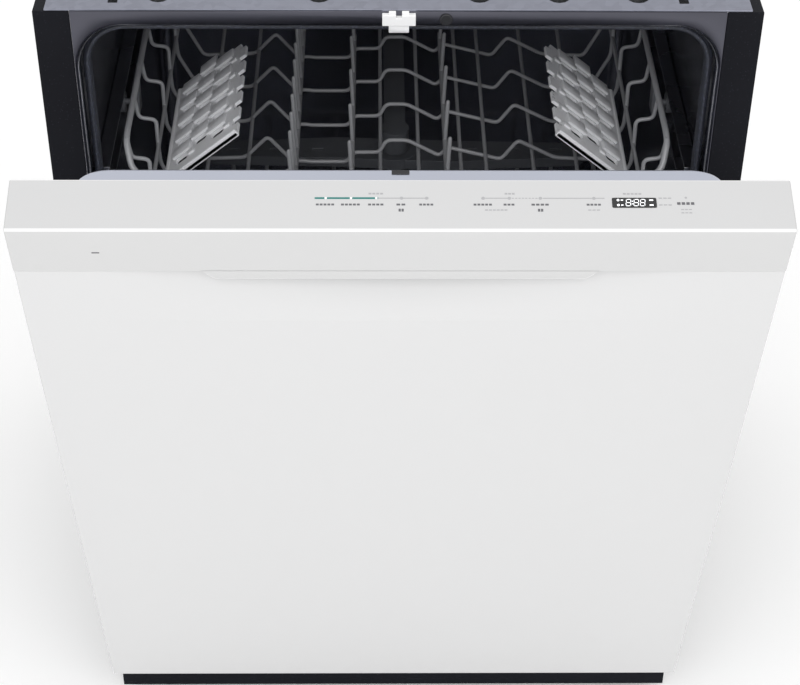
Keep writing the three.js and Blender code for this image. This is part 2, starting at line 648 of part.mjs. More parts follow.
/** Flat grid of crosswise and lengthwise wires, just clear of the walls' feet. */
function rackFloor(name, rack, ends) {
  const { floorHalf, floor, wire: r } = rack;
  const across = rack.ribs.map((y) => wire([[-floorHalf + 3.4, y, floor], [floorHalf - 3.4, y, floor]], r));
  const along = rack.runners.map((x) => wire([[x, ends[0], floor + 3.5], [x, ends[1], floor + 3.5]], r));
  return part(name, shape([...across, ...along]), WIRE_GREY);
}

/** Fixed row of tines on one rod that lies on the crosswise wires. */
function rackTines(name, x, floor, tall, stations) {
  const z = floor + 5.4;
  const rod = wire([[x, stations[0] - 12, z], [x, stations[stations.length - 1] + 12, z]], 2.5);
  const tines = stations.map((y) => wire([[x, y, z], [x, y, floor + tall]], 2.4));
  return part(name, shape([rod, ...tines]), WIRE_GREY);
}

function rackWheel(name, side, y, z, radius, inner, width) {
  const centre = [side * (inner + width / 2), y, z];
  return part(name, wheelShape(radius, width, 3.6, centre), GREY_PLASTIC);
}

/** Fold-up cup shelf: slotted plate with a scalloped free edge, drawn level and then tilted. */
function cupShelf(name, side) {
  const { front, rear, wide, thick, hingeX, hingeZ, tilt } = SHELF;
  const teeth = 6;
  const pitch = (rear - front) / teeth;
  const edge = Array.from({ length: teeth }, (_, i) => {
    const y = front + i * pitch;
    return [[wide, y], [wide, y + pitch * 0.62], [wide - 7, y + pitch * 0.62], [wide - 7, y + pitch]];
  }).flat();
  const points = [[4, front], ...edge, [4, rear]];
  const slots = [22, 44, 66].flatMap((u, row) => Array.from({ length: 5 }, (_, i) => {
    const y = front + 16 + i * 30 + (row % 2) * 12;
    return box(u - 4, u + 4, y, y + 19, -10, 10);
  }));
  const pivot = bar('y', 2.6, front, rear, [4.2, -thick / 2], 8);
  const plate = shape([alongZ(points, -thick, 0), pivot], slots);
  if (side > 0) plate.applyMatrix4(new THREE.Matrix4().makeRotationZ(Math.PI));
  if (side > 0) plate.translate(0, front + rear, 0);
  plate.rotateY(rad(side * tilt));
  plate.translate(side * hingeX, 0, hingeZ);
  return part(name, plate, CLEAR_PLASTIC);
}

function upperManifold() {
  const top = UPPER.floor - UPPER.wire - 0.4;
  const duct = box(-11, 11, UPPER_ARM.y, 523, top - 20, top);
  const nose = bar('y', 10, 505, 524.4, [0, 562], 12);
  const hub = bar('z', 15, 547.5, top, [0, UPPER_ARM.y], 14);
  return part('upper_manifold', shape([duct, nose, hub]), GREY_PLASTIC);
}

// ---------------------------------------------------------------- lower rack

function lowerRackWalls() {
  const r = LOWER.wire;
  const { half, floorHalf, front, rear, rim, belt, floor } = LOWER;
  const dip = (y) => (LOWER.slope * (rear - y)) / (rear - front);
  const rib = (side, y) => [[side * half, y, rim - dip(y)], [side * half, y, floor + 22],
    [side * floorHalf, y, floor]];
  const brim = loopAt(half, front, rear, rim, 22).map(([x, y, z]) => [x, y, z - dip(y)]);
  const adds = [
    wire(brim, r + 0.5, { closed: true }),
    wire(loopAt(half, front, rear, belt, 22), r, { closed: true }),
    ...LOWER.ribs.flatMap((y) => [-1, 1].map((side) => wire(rib(side, y), r))),
    ...LOWER.runners
      .map((x) => wire([[x, front, rim - dip(front)], [x, front + 6, floor + 3.5]], r)),
    ...LOWER.runners.map((x) => wire([[x, rear, rim], [x, rear - 6, floor + 3.5]], r)),
  ];
  for (const side of [-1, 1]) {
    for (const y of [LOWER.wheelFront, LOWER.wheelRear]) {
      const tab = side < 0 ? [-224, -213] : [213, 224];
      adds.push(...wheelMount(side, 213, 3.5, 229, y, LOWER.wheelZ - 7, floor - 2.8, LOWER.wheelZ));
      adds.push(box(...tab, y - 5, y + 5, floor - 8, floor - 2.8));
      adds.push(box(...(side < 0 ? [-224, -220] : [220, 224]), y - 5, y + 5, floor - 8, floor));
    }
  }
  return part('lower_rack_walls', shape(adds), WIRE_GREY);
}


function silverwareBasket() {
  const { x, front, rear, bottom, top, wall } = BASKET;
  const block = box(-x, x, front, rear, bottom, top);
  const cell = (2 * x - 5 * wall) / 4;
  const rooms = [0, 1, 2, 3].map((i) => {
    const left = -x + wall + i * (cell + wall);
    return box(left, left + cell, front + wall, rear - wall, bottom + wall, top + 5);
  });
  const middle = (front + rear) / 2;
  const handle = wire([[-62, middle, top - 8], [-62, middle, top + 38], [-50, middle, top + 48],
    [50, middle, top + 48], [62, middle, top + 38], [62, middle, top - 8]], 3.4);
  return part('silverware_basket', shape([geometryOf(rooms
    .reduce((sum, item) => sum.subtract(solid(item)), solid(block))), handle]), GREY_PLASTIC);
}

function foldTines() {
  const { x, z, front, rear, tall, count } = TINES;
  const rod = wire([[x, front - 10, z], [x, rear + 10, z]], 2.6);
  const prongs = spaced(front, rear, count).map((y) => wire([[x, y, z], [x, y, z + tall]], 2.4));
  return part('fold_tines', shape([rod, ...prongs]), WIRE_GREY);
}

// ---------------------------------------------------------------- assembly

function doorGroup() {
  const door = new THREE.Group();
  door.position.set(0, HINGE.y, HINGE.z);
  door.rotation.x = rad(DOOR_OPEN);
  door.add(doorPanel(), doorFascia(), displayWindow(), controlBoard(), doorInsulation(), doorLiner(),
    dispenserBody(), dispenserLid(), rinseCap(), doorLatch(),
    hingeArm('hinge_arm_left', -1), hingeArm('hinge_arm_right', 1));
  return door;
}

function upperRackGroup() {
  const rack = new THREE.Group();
  const { wheelZ, wheelR, wheelFront, wheelRear } = UPPER;
  rack.add(upperRackWalls(), rackFloor('upper_rack_floor', UPPER, [UPPER.front + 11.2, UPPER.rear - 11.2]),
    rackTines('upper_rack_tines', UPPER.tineX, UPPER.floor, UPPER.tineTall, UPPER.tines),
    cupShelf('cup_shelf_left', -1), cupShelf('cup_shelf_right', 1),
    upperManifold(),
    sprayArm('upper_spray_arm', UPPER_ARM.y, UPPER_ARM.z, UPPER_ARM.reach, UPPER_ARM.z, 547),
    rackWheel('upper_wheel_fl', -1, wheelFront, wheelZ, wheelR, 259.4, 8),
    rackWheel('upper_wheel_fr', 1, wheelFront, wheelZ, wheelR, 259.4, 8),
    rackWheel('upper_wheel_rl', -1, wheelRear, wheelZ, wheelR, 259.4, 8),
    rackWheel('upper_wheel_rr', 1, wheelRear, wheelZ, wheelR, 259.4, 8));
  return rack;
}

function lowerRackGroup() {
  const rack = new THREE.Group();
  const { wheelZ, wheelR, wheelFront, wheelRear } = LOWER;
  rack.add(lowerRackWalls(), rackFloor('lower_rack_floor', LOWER, [LOWER.front + 9.2, LOWER.rear - 9.2]),
    rackTines('lower_rack_tines', LOWER.tineX, LOWER.floor, LOWER.tineTall, LOWER.tines),
    silverwareBasket(), foldTines(),
    rackWheel('lower_wheel_fl', -1, wheelFront, wheelZ, wheelR, 218, 10),
    rackWheel('lower_wheel_fr', 1, wheelFront, wheelZ, wheelR, 218, 10),
    rackWheel('lower_wheel_rl', -1, wheelRear, wheelZ, wheelR, 218, 10),
    rackWheel('lower_wheel_rr', 1, wheelRear, wheelZ, wheelR, 218, 10));
  return rack;
}

function bodyGroup() {
  const body = new THREE.Group();
  body.add(tub(), tubGasket(), sideTrim('side_trim_left', -1), sideTrim('side_trim_right', 1),
    topBrace(), latchStrike(), flangeBumper(), insulationBlanket(), baseFrame(), toeKick(),
    accessPanel(), junctionBox(), inletValve(), sump(), circulationPump(), drainPump(), heatingElement(),
    filterPlate(), filterCup(), overfillFloat(), feedTube(),
    upperRail('upper_rail_left', -1), upperRail('upper_rail_right', 1),
    sprayArm('lower_spray_arm', LOWER_ARM.y, LOWER_ARM.z, LOWER_ARM.reach, LOWER_ARM.z - 0.6, 206),
    leg('leg_front_left', -LEG.x, LEG.front), leg('leg_front_right', LEG.x, LEG.front),
    leg('leg_rear_left', -LEG.x, LEG.rear), leg('leg_rear_right', LEG.x, LEG.rear));
  return body;
}

const group = new THREE.Group();
group.name = 'dishwasher';
const cabinet = new THREE.Group();
cabinet.position.y = FLANGE_Y;
cabinet.add(bodyGroup(), doorGroup(), upperRackGroup(), lowerRackGroup());
group.add(cabinet);

export default group;
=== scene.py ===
"""Built-in dishwasher: the fine meshes and finishes of every piece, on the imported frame."""
import sys

import json
import logging
import math
from dataclasses import dataclass
from enum import Enum
from functools import lru_cache
from typing import Callable, Iterable, Sequence

import bmesh
import bpy
from mathutils import Matrix, Vector, noise
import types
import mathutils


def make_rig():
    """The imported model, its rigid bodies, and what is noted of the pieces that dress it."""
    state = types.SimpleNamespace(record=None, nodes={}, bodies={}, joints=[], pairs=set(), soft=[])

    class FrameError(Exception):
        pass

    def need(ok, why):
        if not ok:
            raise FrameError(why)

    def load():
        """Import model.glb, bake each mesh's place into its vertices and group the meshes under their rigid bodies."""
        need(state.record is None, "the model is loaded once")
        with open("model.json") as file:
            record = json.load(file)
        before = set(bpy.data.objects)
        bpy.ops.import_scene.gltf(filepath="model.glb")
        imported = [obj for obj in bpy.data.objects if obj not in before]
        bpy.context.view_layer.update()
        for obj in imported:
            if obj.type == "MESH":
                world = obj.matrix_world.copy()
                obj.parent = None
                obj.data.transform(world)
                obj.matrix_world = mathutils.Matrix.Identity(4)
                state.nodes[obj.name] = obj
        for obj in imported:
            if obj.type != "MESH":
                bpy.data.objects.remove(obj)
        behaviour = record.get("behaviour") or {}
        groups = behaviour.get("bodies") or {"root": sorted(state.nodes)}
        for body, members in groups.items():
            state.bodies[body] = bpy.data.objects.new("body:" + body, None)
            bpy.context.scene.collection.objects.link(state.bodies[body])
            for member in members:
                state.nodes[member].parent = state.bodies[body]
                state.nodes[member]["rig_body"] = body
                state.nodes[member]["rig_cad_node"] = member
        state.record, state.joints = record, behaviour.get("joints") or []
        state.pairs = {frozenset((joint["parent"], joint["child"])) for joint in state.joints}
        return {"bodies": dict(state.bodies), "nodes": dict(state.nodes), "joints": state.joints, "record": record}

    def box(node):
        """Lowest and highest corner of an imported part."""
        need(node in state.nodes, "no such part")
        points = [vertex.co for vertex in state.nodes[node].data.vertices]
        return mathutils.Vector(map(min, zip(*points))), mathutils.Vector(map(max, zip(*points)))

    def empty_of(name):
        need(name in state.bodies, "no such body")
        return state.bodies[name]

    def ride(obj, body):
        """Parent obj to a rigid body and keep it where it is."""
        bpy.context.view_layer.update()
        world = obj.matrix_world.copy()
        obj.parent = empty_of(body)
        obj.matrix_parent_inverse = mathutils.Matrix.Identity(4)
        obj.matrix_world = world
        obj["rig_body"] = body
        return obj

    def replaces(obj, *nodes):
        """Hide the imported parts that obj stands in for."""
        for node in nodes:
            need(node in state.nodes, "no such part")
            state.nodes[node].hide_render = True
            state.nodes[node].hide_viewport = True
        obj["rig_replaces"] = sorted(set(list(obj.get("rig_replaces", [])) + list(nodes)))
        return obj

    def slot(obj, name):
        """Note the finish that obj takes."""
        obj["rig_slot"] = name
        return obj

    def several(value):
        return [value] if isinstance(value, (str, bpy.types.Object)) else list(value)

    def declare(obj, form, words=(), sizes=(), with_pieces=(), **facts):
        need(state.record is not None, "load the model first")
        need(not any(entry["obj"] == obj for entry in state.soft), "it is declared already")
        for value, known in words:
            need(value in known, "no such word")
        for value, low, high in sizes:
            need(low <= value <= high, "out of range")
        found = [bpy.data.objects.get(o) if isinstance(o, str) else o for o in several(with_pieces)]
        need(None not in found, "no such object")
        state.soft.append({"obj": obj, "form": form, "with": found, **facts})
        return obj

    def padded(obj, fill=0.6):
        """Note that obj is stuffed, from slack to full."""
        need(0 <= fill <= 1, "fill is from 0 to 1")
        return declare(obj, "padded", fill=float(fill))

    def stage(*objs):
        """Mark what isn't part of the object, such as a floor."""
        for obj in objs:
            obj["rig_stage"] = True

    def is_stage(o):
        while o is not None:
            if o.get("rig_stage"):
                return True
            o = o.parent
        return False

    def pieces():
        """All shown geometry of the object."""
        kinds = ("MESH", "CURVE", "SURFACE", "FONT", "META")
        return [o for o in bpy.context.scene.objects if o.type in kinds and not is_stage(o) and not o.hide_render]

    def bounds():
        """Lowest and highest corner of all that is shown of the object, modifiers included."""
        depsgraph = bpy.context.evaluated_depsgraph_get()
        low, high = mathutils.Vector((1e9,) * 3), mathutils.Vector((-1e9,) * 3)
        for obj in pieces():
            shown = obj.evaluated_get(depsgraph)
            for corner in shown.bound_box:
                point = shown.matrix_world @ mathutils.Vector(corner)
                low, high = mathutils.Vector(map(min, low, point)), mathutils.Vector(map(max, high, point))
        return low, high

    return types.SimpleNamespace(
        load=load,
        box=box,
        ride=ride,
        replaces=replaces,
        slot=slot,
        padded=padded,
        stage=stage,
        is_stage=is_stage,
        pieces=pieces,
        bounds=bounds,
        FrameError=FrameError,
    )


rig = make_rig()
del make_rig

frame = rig.load()
CAD_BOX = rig.bounds()

LOG = logging.getLogger("dishwasher")
MM = 0.001
CRISP = 32.0
NEAR = 0.01
Point = tuple[float, float, float]
Flat = tuple[float, float]


# ------------------------------------------------------------------ finishes


class Texture(Enum):
    """Kinds of fine surface a finish can have."""

    MOULDED = "moulded"
    DRAWN = "drawn"
    FIBRES = "fibres"
    SPANGLE = "spangle"


class Slot(Enum):
    """Material slots of the record."""

    WHITE_ENAMEL = "white_enamel"
    WHITE_PLASTIC = "white_plastic"
    BRIGHT_WHITE = "bright_white"
    STAINLESS = "stainless"
    LINER_STEEL = "liner_steel"
    GALVANISED = "galvanised"
    BLACK_PLASTIC = "black_plastic"
    BLACK_PAINT = "black_paint"
    BLACK_GLASS = "black_glass"
    RUBBER = "rubber"
    GREY_PLASTIC = "grey_plastic"
    WIRE_GREY = "wire_grey"
    CLEAR_PLASTIC = "clear_plastic"
    FELT = "felt"
    BOARD_GREEN = "board_green"
    ELEMENT_STEEL = "element_steel"


class NodeDesk:
    """Places and links the nodes of one shader tree."""

    def __init__(self, tree: bpy.types.NodeTree) -> None:
        """Keeps the tree that the nodes go into."""
        self.tree = tree

    def add(self, kind: str, **values: object) -> bpy.types.Node:
        """Adds a node.

        Args:
            kind: The node's type name.
            values: Input values by socket name, with _ for a space.

        Returns:
            The new node.
        """
        node = self.tree.nodes.new(kind)
        for name, value in values.items():
            node.inputs[name.replace("_", " ")].default_value = value
        return node

    def link(self, out: bpy.types.NodeSocket, into: bpy.types.NodeSocket) -> None:
        """Joins two sockets."""
        self.tree.links.new(out, into)


def new_group(name: str, floats: dict[str, float], outs: dict[str, str]) -> tuple[
        bpy.types.NodeTree, NodeDesk, bpy.types.Node, bpy.types.Node]:
    """Starts a shader group with named sockets.

    Args:
        name: The group's name.
        floats: Input names and their starting values.
        outs: Output names and their socket types.

    Returns:
        The tree, its desk, and its input and output nodes.
    """
    tree = bpy.data.node_groups.new(name, "ShaderNodeTree")
    for label, value in floats.items():
        socket = tree.interface.new_socket(label, in_out="INPUT", socket_type="NodeSocketFloat")
        socket.default_value = value
    for label, kind in outs.items():
        tree.interface.new_socket(label, in_out="OUTPUT", socket_type=kind)
    desk = NodeDesk(tree)
    return tree, desk, desk.add("NodeGroupInput"), desk.add("NodeGroupOutput")


@lru_cache(maxsize=None)
def surface_group(texture: Texture) -> bpy.types.NodeTree:
    """Makes the shader group of one fine surface.

    Args:
        texture: The kind of surface.

    Returns:
        A group with Scale in, and Height and Value out.
    """
    tree, desk, given, result = new_group(
        texture.value + "_surface", {"Scale": 400.0},
        {"Height": "NodeSocketFloat", "Value": "NodeSocketFloat"})
    place = desk.add("ShaderNodeTexCoord")
    stretch = desk.add("ShaderNodeMapping")
    desk.link(place.outputs["Object"], stretch.inputs["Vector"])
    if texture is Texture.DRAWN:
        stretch.inputs["Scale"].default_value = (0.02, 1.0, 1.0)
    if texture is Texture.FIBRES:
        stretch.inputs["Scale"].default_value = (0.35, 1.0, 0.7)
    if texture is Texture.SPANGLE:
        pattern = desk.add("ShaderNodeTexVoronoi")
        height, value = pattern.outputs["Distance"], pattern.outputs["Color"]
    else:
        pattern = desk.add("ShaderNodeTexNoise", Detail=4.0, Roughness=0.6)
        height = value = pattern.outputs[0]
    desk.link(stretch.outputs[0], pattern.inputs["Vector"])
    desk.link(given.outputs["Scale"], pattern.inputs["Scale"])
    desk.link(height, result.inputs["Height"])
    desk.link(value, result.inputs["Value"])
    return tree


@lru_cache(maxsize=None)
def cloud_group() -> bpy.types.NodeTree:
    """Makes the group of slow variation over a surface: smears, rubbing and settled dust.

    Returns:
        A group with Scale and Dust in, and Cloud and Dust out.
    """
    tree, desk, given, result = new_group(
        "slow_variation", {"Scale": 6.0, "Dust": 0.0},
        {"Cloud": "NodeSocketFloat", "Dust": "NodeSocketFloat"})
    place = desk.add("ShaderNodeTexCoord")
    smear = desk.add("ShaderNodeTexNoise", Detail=5.0, Roughness=0.55)
    desk.link(place.outputs["Object"], smear.inputs["Vector"])
    desk.link(given.outputs["Scale"], smear.inputs["Scale"])
    shape = desk.add("ShaderNodeNewGeometry")
    facing = desk.add("ShaderNodeSeparateXYZ")
    desk.link(shape.outputs["Normal"], facing.inputs[0])
    upward = desk.add("ShaderNodeMapRange", From_Min=0.3, From_Max=1.0)
    desk.link(facing.outputs["Z"], upward.inputs["Value"])
    settle = desk.add("ShaderNodeMath")
    settle.operation = "MULTIPLY"
    desk.link(upward.outputs[0], settle.inputs[0])
    desk.link(smear.outputs[0], settle.inputs[1])
    amount = desk.add("ShaderNodeMath")
    amount.operation = "MULTIPLY"
    desk.link(settle.outputs[0], amount.inputs[0])
    desk.link(given.outputs["Dust"], amount.inputs[1])
    desk.link(smear.outputs[0], result.inputs["Cloud"])
    desk.link(amount.outputs[0], result.inputs["Dust"])
    return tree


@lru_cache(maxsize=None)
def fleck_group() -> bpy.types.NodeTree:
    """Makes the group of small scattered flecks, such as water spots or mould speckle.

    Returns:
        A group with Scale and Cover in, and Mask out.
    """
    tree, desk, given, result = new_group(
        "scattered_flecks", {"Scale": 500.0, "Cover": 0.3}, {"Mask": "NodeSocketFloat"})
    place = desk.add("ShaderNodeTexCoord")
    dots = desk.add("ShaderNodeTexVoronoi", Randomness=1.0)
    desk.link(place.outputs["Object"], dots.inputs["Vector"])
    desk.link(given.outputs["Scale"], dots.inputs["Scale"])
    inside = desk.add("ShaderNodeMath")
    inside.operation = "LESS_THAN"
    desk.link(dots.outputs["Distance"], inside.inputs[0])
    desk.link(given.outputs["Cover"], inside.inputs[1])
    desk.link(inside.outputs[0], result.inputs["Mask"])
    return tree


@dataclass(frozen=True)
class Finish:
    """One finish: what the surface is made of and how it looks close up.

    The texture repeats scale times per metre and stands out by relief. drift varies the colour
    and spread the roughness. Dust and flecks lie on top, and the rest are shader weights.
    """

    slot: Slot
    colour: Point
    roughness: float
    metallic: float = 0.0
    texture: Texture = Texture.MOULDED
    scale: float = 900.0
    relief: float = 0.05
    drift: float = 0.05
    spread: float = 0.08
    dust: float = 0.0
    flecks: float = 0.0
    fleck_scale: float = 500.0
    fleck_colour: Point = (0.5, 0.5, 0.55)
    coat: float = 0.0
    sheen: float = 0.0
    transmission: float = 0.0
    glow: float = 0.0
    specular: float = 0.5

    def mixed(self, desk: NodeDesk, share: bpy.types.NodeSocket, low: object,
              high: Point) -> bpy.types.NodeSocket:
        """Mixes towards a colour.

        Args:
            desk: The tree's desk.
            share: Socket with the share of the second colour.
            low: First colour, as a value or a socket.
            high: Second colour.

        Returns:
            The mixed colour's socket.
        """
        mix = desk.add("ShaderNodeMix")
        mix.data_type = "RGBA"
        desk.link(share, mix.inputs[0])
        if isinstance(low, bpy.types.NodeSocket):
            desk.link(low, mix.inputs[6])
        else:
            mix.inputs[6].default_value = (*low, 1.0)
        mix.inputs[7].default_value = (*high, 1.0)
        return mix.outputs[2]


@lru_cache(maxsize=None)
def material_of(name: str, finish: Finish) -> bpy.types.Material:
    """Builds a finish's procedural material once.

    Args:
        name: The material's name.
        finish: What it is made of.

    Returns:
        The material.
    """
    material = bpy.data.materials.new(name)
    material.use_nodes = True
    desk = NodeDesk(material.node_tree)
    shader = material.node_tree.nodes["Principled BSDF"]
    constants = {"Metallic": finish.metallic, "Coat Weight": finish.coat, "Coat Roughness": 0.08,
                 "Sheen Weight": finish.sheen, "Transmission Weight": finish.transmission,
                 "Specular IOR Level": finish.specular}
    for label, value in constants.items():
        shader.inputs[label].default_value = value
    fine = desk.add("ShaderNodeGroup")
    fine.node_tree = surface_group(finish.texture)
    fine.inputs["Scale"].default_value = finish.scale
    slow = desk.add("ShaderNodeGroup")
    slow.node_tree = cloud_group()
    slow.inputs["Dust"].default_value = finish.dust
    darker = tuple(channel * (1.0 - 2.0 * finish.drift) for channel in finish.colour)
    lighter = tuple(min(1.0, channel * (1.0 + finish.drift)) for channel in finish.colour)
    colour = finish.mixed(desk, slow.outputs["Cloud"], darker, lighter)
    if finish.texture in (Texture.FIBRES, Texture.SPANGLE):
        colour = finish.mixed(desk, fine.outputs["Value"], colour, lighter)
    if finish.dust:
        colour = finish.mixed(desk, slow.outputs["Dust"], colour, (0.62, 0.62, 0.64))
    if finish.flecks:
        spots = desk.add("ShaderNodeGroup")
        spots.node_tree = fleck_group()
        spots.inputs["Scale"].default_value = finish.fleck_scale
        spots.inputs["Cover"].default_value = finish.flecks
        colour = finish.mixed(desk, spots.outputs["Mask"], colour, finish.fleck_colour)
    desk.link(colour, shader.inputs["Base Color"])
    gloss = desk.add("ShaderNodeMapRange", To_Min=max(0.02, finish.roughness - finish.spread),
                     To_Max=min(1.0, finish.roughness + finish.spread))
    desk.link(slow.outputs["Cloud"], gloss.inputs["Value"])
    desk.link(gloss.outputs[0], shader.inputs["Roughness"])
    relief = desk.add("ShaderNodeBump", Strength=finish.relief, Distance=MM)
    desk.link(fine.outputs["Height"], relief.inputs["Height"])
    desk.link(relief.outputs[0], shader.inputs["Normal"])
    if finish.glow:
        shader.inputs["Emission Color"].default_value = (*finish.colour, 1.0)
        shader.inputs["Emission Strength"].default_value = finish.glow
    return material


ENAMEL = Finish(Slot.WHITE_ENAMEL, (0.62, 0.62, 0.622), 0.26, scale=260.0, relief=0.03, drift=0.004,
                spread=0.03, coat=0.25)
CONSOLE_WHITE = Finish(Slot.WHITE_PLASTIC, (0.57, 0.57, 0.57), 0.42, scale=1600.0, relief=0.06,
                       drift=0.006, spread=0.04)
CONTROL_FILM = Finish(Slot.WHITE_PLASTIC, (0.60, 0.60, 0.602), 0.5, scale=1900.0, relief=0.05,
                      drift=0.006, spread=0.04, specular=0.3)
# Lighter white on the rounded edges of the console and the grip's lip: a painted highlight along the rounds.
EDGE_WHITE = Finish(Slot.BRIGHT_WHITE, (0.78, 0.78, 0.78), 0.35, scale=1200.0, relief=0.03, drift=0.004)
STRIKE_WHITE = Finish(Slot.BRIGHT_WHITE, (0.92, 0.92, 0.92), 0.4, scale=900.0, relief=0.05, drift=0.01)
TUB_STEEL = Finish(Slot.STAINLESS, (0.52, 0.525, 0.57), 0.2, 1.0, Texture.DRAWN, 900.0, 0.04, 0.08,
                   0.09, flecks=0.12, fleck_scale=260.0, fleck_colour=(0.36, 0.37, 0.40))
FLANGE_STEEL = Finish(Slot.STAINLESS, (0.11, 0.11, 0.133), 0.3, 1.0, Texture.DRAWN, 900.0, 0.04, 0.1, 0.09)
RAIL_STEEL = Finish(Slot.LINER_STEEL, (0.40, 0.405, 0.43), 0.28, 1.0, Texture.DRAWN, 700.0, 0.05, 0.06)
LINER_STEEL = Finish(Slot.LINER_STEEL, (0.56, 0.585, 0.67), 0.3, 1.0, Texture.DRAWN, 800.0, 0.05, 0.05)
GALVANISED = Finish(Slot.GALVANISED, (0.26, 0.27, 0.325), 0.38, 0.9, Texture.SPANGLE, 160.0, 0.03, 0.12)
BLACK_TRIM = Finish(Slot.BLACK_PLASTIC, (0.010, 0.0105, 0.014), 0.55, scale=1500.0, relief=0.12,
                    drift=0.2, flecks=0.14, fleck_scale=330.0, fleck_colour=(0.022, 0.023, 0.030),
                    specular=0.08)
BLACK_PART = Finish(Slot.BLACK_PLASTIC, (0.02, 0.02, 0.023), 0.45, scale=1100.0, relief=0.1, drift=0.15)
BLACK_PAINT = Finish(Slot.BLACK_PAINT, (0.011, 0.012, 0.016), 0.5, scale=700.0, relief=0.12,
                     drift=0.2, dust=0.02, specular=0.05)
BLACK_GLASS = Finish(Slot.BLACK_GLASS, (0.006, 0.006, 0.007), 0.1, scale=200.0, relief=0.005, drift=0.1,
                     coat=0.6)
RUBBER = Finish(Slot.RUBBER, (0.03, 0.033, 0.045), 0.55, scale=1300.0, relief=0.2, drift=0.2,
                flecks=0.26, fleck_scale=620.0, fleck_colour=(0.10, 0.115, 0.17))
GREY_PLASTIC = Finish(Slot.GREY_PLASTIC, (0.16, 0.165, 0.18), 0.45, scale=1000.0, relief=0.08, drift=0.06)
ARM_GREY = Finish(Slot.GREY_PLASTIC, (0.10, 0.105, 0.115), 0.42, scale=1000.0, relief=0.08, drift=0.06)
WIRE_COAT = Finish(Slot.WIRE_GREY, (0.42, 0.425, 0.44), 0.3, scale=1400.0, relief=0.08, drift=0.08, coat=0.2)
FROSTED = Finish(Slot.CLEAR_PLASTIC, (0.93, 0.935, 0.96), 0.3, scale=1400.0, relief=0.16, drift=0.05,
                 transmission=0.12, flecks=0.16, fleck_scale=420.0, fleck_colour=(0.95, 0.95, 0.97))
FELT = Finish(Slot.FELT, (0.028, 0.029, 0.031), 0.95, texture=Texture.FIBRES, scale=700.0, relief=0.8,
              drift=0.35, sheen=0.3)
BOARD_GREEN = Finish(Slot.BOARD_GREEN, (0.03, 0.11, 0.05), 0.5, scale=500.0, relief=0.06, drift=0.15,
                     flecks=0.2, fleck_scale=300.0, fleck_colour=(0.35, 0.28, 0.12))
ELEMENT_STEEL = Finish(Slot.ELEMENT_STEEL, (0.30, 0.31, 0.33), 0.36, 1.0, Texture.DRAWN, 900.0, 0.08, 0.15)
TEAL_INK = Finish(Slot.WHITE_PLASTIC, (0.0, 0.19, 0.17), 0.5, scale=2000.0, relief=0.02, drift=0.02)
GREY_INK = Finish(Slot.WHITE_PLASTIC, (0.42, 0.42, 0.43), 0.5, scale=2000.0, relief=0.02, drift=0.02)
DARK_INK = Finish(Slot.WHITE_PLASTIC, (0.13, 0.13, 0.14), 0.5, scale=2000.0, relief=0.02, drift=0.02)
WHITE_INK = Finish(Slot.BRIGHT_WHITE, (0.95, 0.95, 0.95), 0.45, scale=2000.0, relief=0.02, drift=0.01)
DIGIT_LIGHT = Finish(Slot.BRIGHT_WHITE, (0.95, 0.97, 1.0), 0.4, scale=2000.0, relief=0.02, glow=0.9)
FLOOR_WHITE = Finish(Slot.BRIGHT_WHITE, (0.95, 0.95, 0.95), 0.7, scale=60.0, relief=0.0, drift=0.0, glow=0.14)

FINISH_NAMES = {value: key.lower() for key, value in list(globals().items()) if isinstance(value, Finish)}


# ------------------------------------------------------------------ places and joints


def joint(name: str) -> dict:
    """Finds one of the frame's joints by its name."""
    return next(item for item in frame["joints"] if item["name"] == name)


FLANGE_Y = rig.box("tub")[0].y
DOOR_HINGE = joint("door_hinge")
DOOR_OPEN = math.radians(-DOOR_HINGE["range_deg"][0])
CABINET = Matrix.Translation((0.0, FLANGE_Y, 0.0)) @ Matrix.Scale(MM, 4)
DOOR = (Matrix.Translation(DOOR_HINGE["pos_m"]) @ Matrix.Rotation(DOOR_OPEN, 4, "X")
        @ Matrix.Scale(MM, 4))
BODY_OF = {node: body for body, nodes in frame["record"]["behaviour"]["bodies"].items()
           for node in nodes}


# ------------------------------------------------------------------ workshop


def enlist(mesh: bpy.types.Mesh, name: str, body: str, finishes: Sequence[Finish],
           stands_for: Sequence[str] = (), smooth: float = CRISP) -> bpy.types.Object:
    """Makes a finished mesh a piece that rides on a body.

    Args:
        mesh: The mesh, in metres in the row frame.
        name: The piece's name.
        body: The body it rides on.
        finishes: Its finishes, in the order of its faces' material numbers.
        stands_for: CAD nodes that it replaces.
        smooth: Edges sharper than this many degrees stay crisp.

    Returns:
        The piece.
    """
    mesh.name = name
    mesh.shade_smooth()
    mesh.set_sharp_from_angle(angle=math.radians(smooth))
    for finish in finishes:
        mesh.materials.append(material_of(FINISH_NAMES[finish], finish))
    piece = bpy.data.objects.new(name, mesh)
    bpy.context.collection.objects.link(piece)
    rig.ride(piece, body)
    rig.slot(piece, finishes[0].slot.value)
    if stands_for:
        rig.replaces(piece, *stands_for)
    LOG.info("%s rides on %s", name, body)
    return piece


def settle(bm: bmesh.types.BMesh, name: str, place: Matrix, body: str, finishes: Sequence[Finish],
           stands_for: Sequence[str] = (), smooth: float = CRISP,
           recalculate: bool = True) -> bpy.types.Object:
    """Turns a bench mesh, in its own millimetres, into a piece in its place.

    Args:
        bm: The mesh on the bench, which is freed.
        name: The piece's name.
        place: Matrix from the bench to the row frame.
        body: The body it rides on.
        finishes: Its finishes.
        stands_for: CAD nodes that it replaces.
        smooth: Edges sharper than this many degrees stay crisp.
        recalculate: Whether its faces are turned outwards.

    Returns:
        The piece.
    """
    bmesh.ops.transform(bm, matrix=place, verts=bm.verts)
    if recalculate:
        bmesh.ops.recalc_face_normals(bm, faces=bm.faces)
    mesh = bpy.data.meshes.new(name)
    bm.to_mesh(mesh)
    bm.free()
    return enlist(mesh, name, body, finishes, stands_for, smooth)


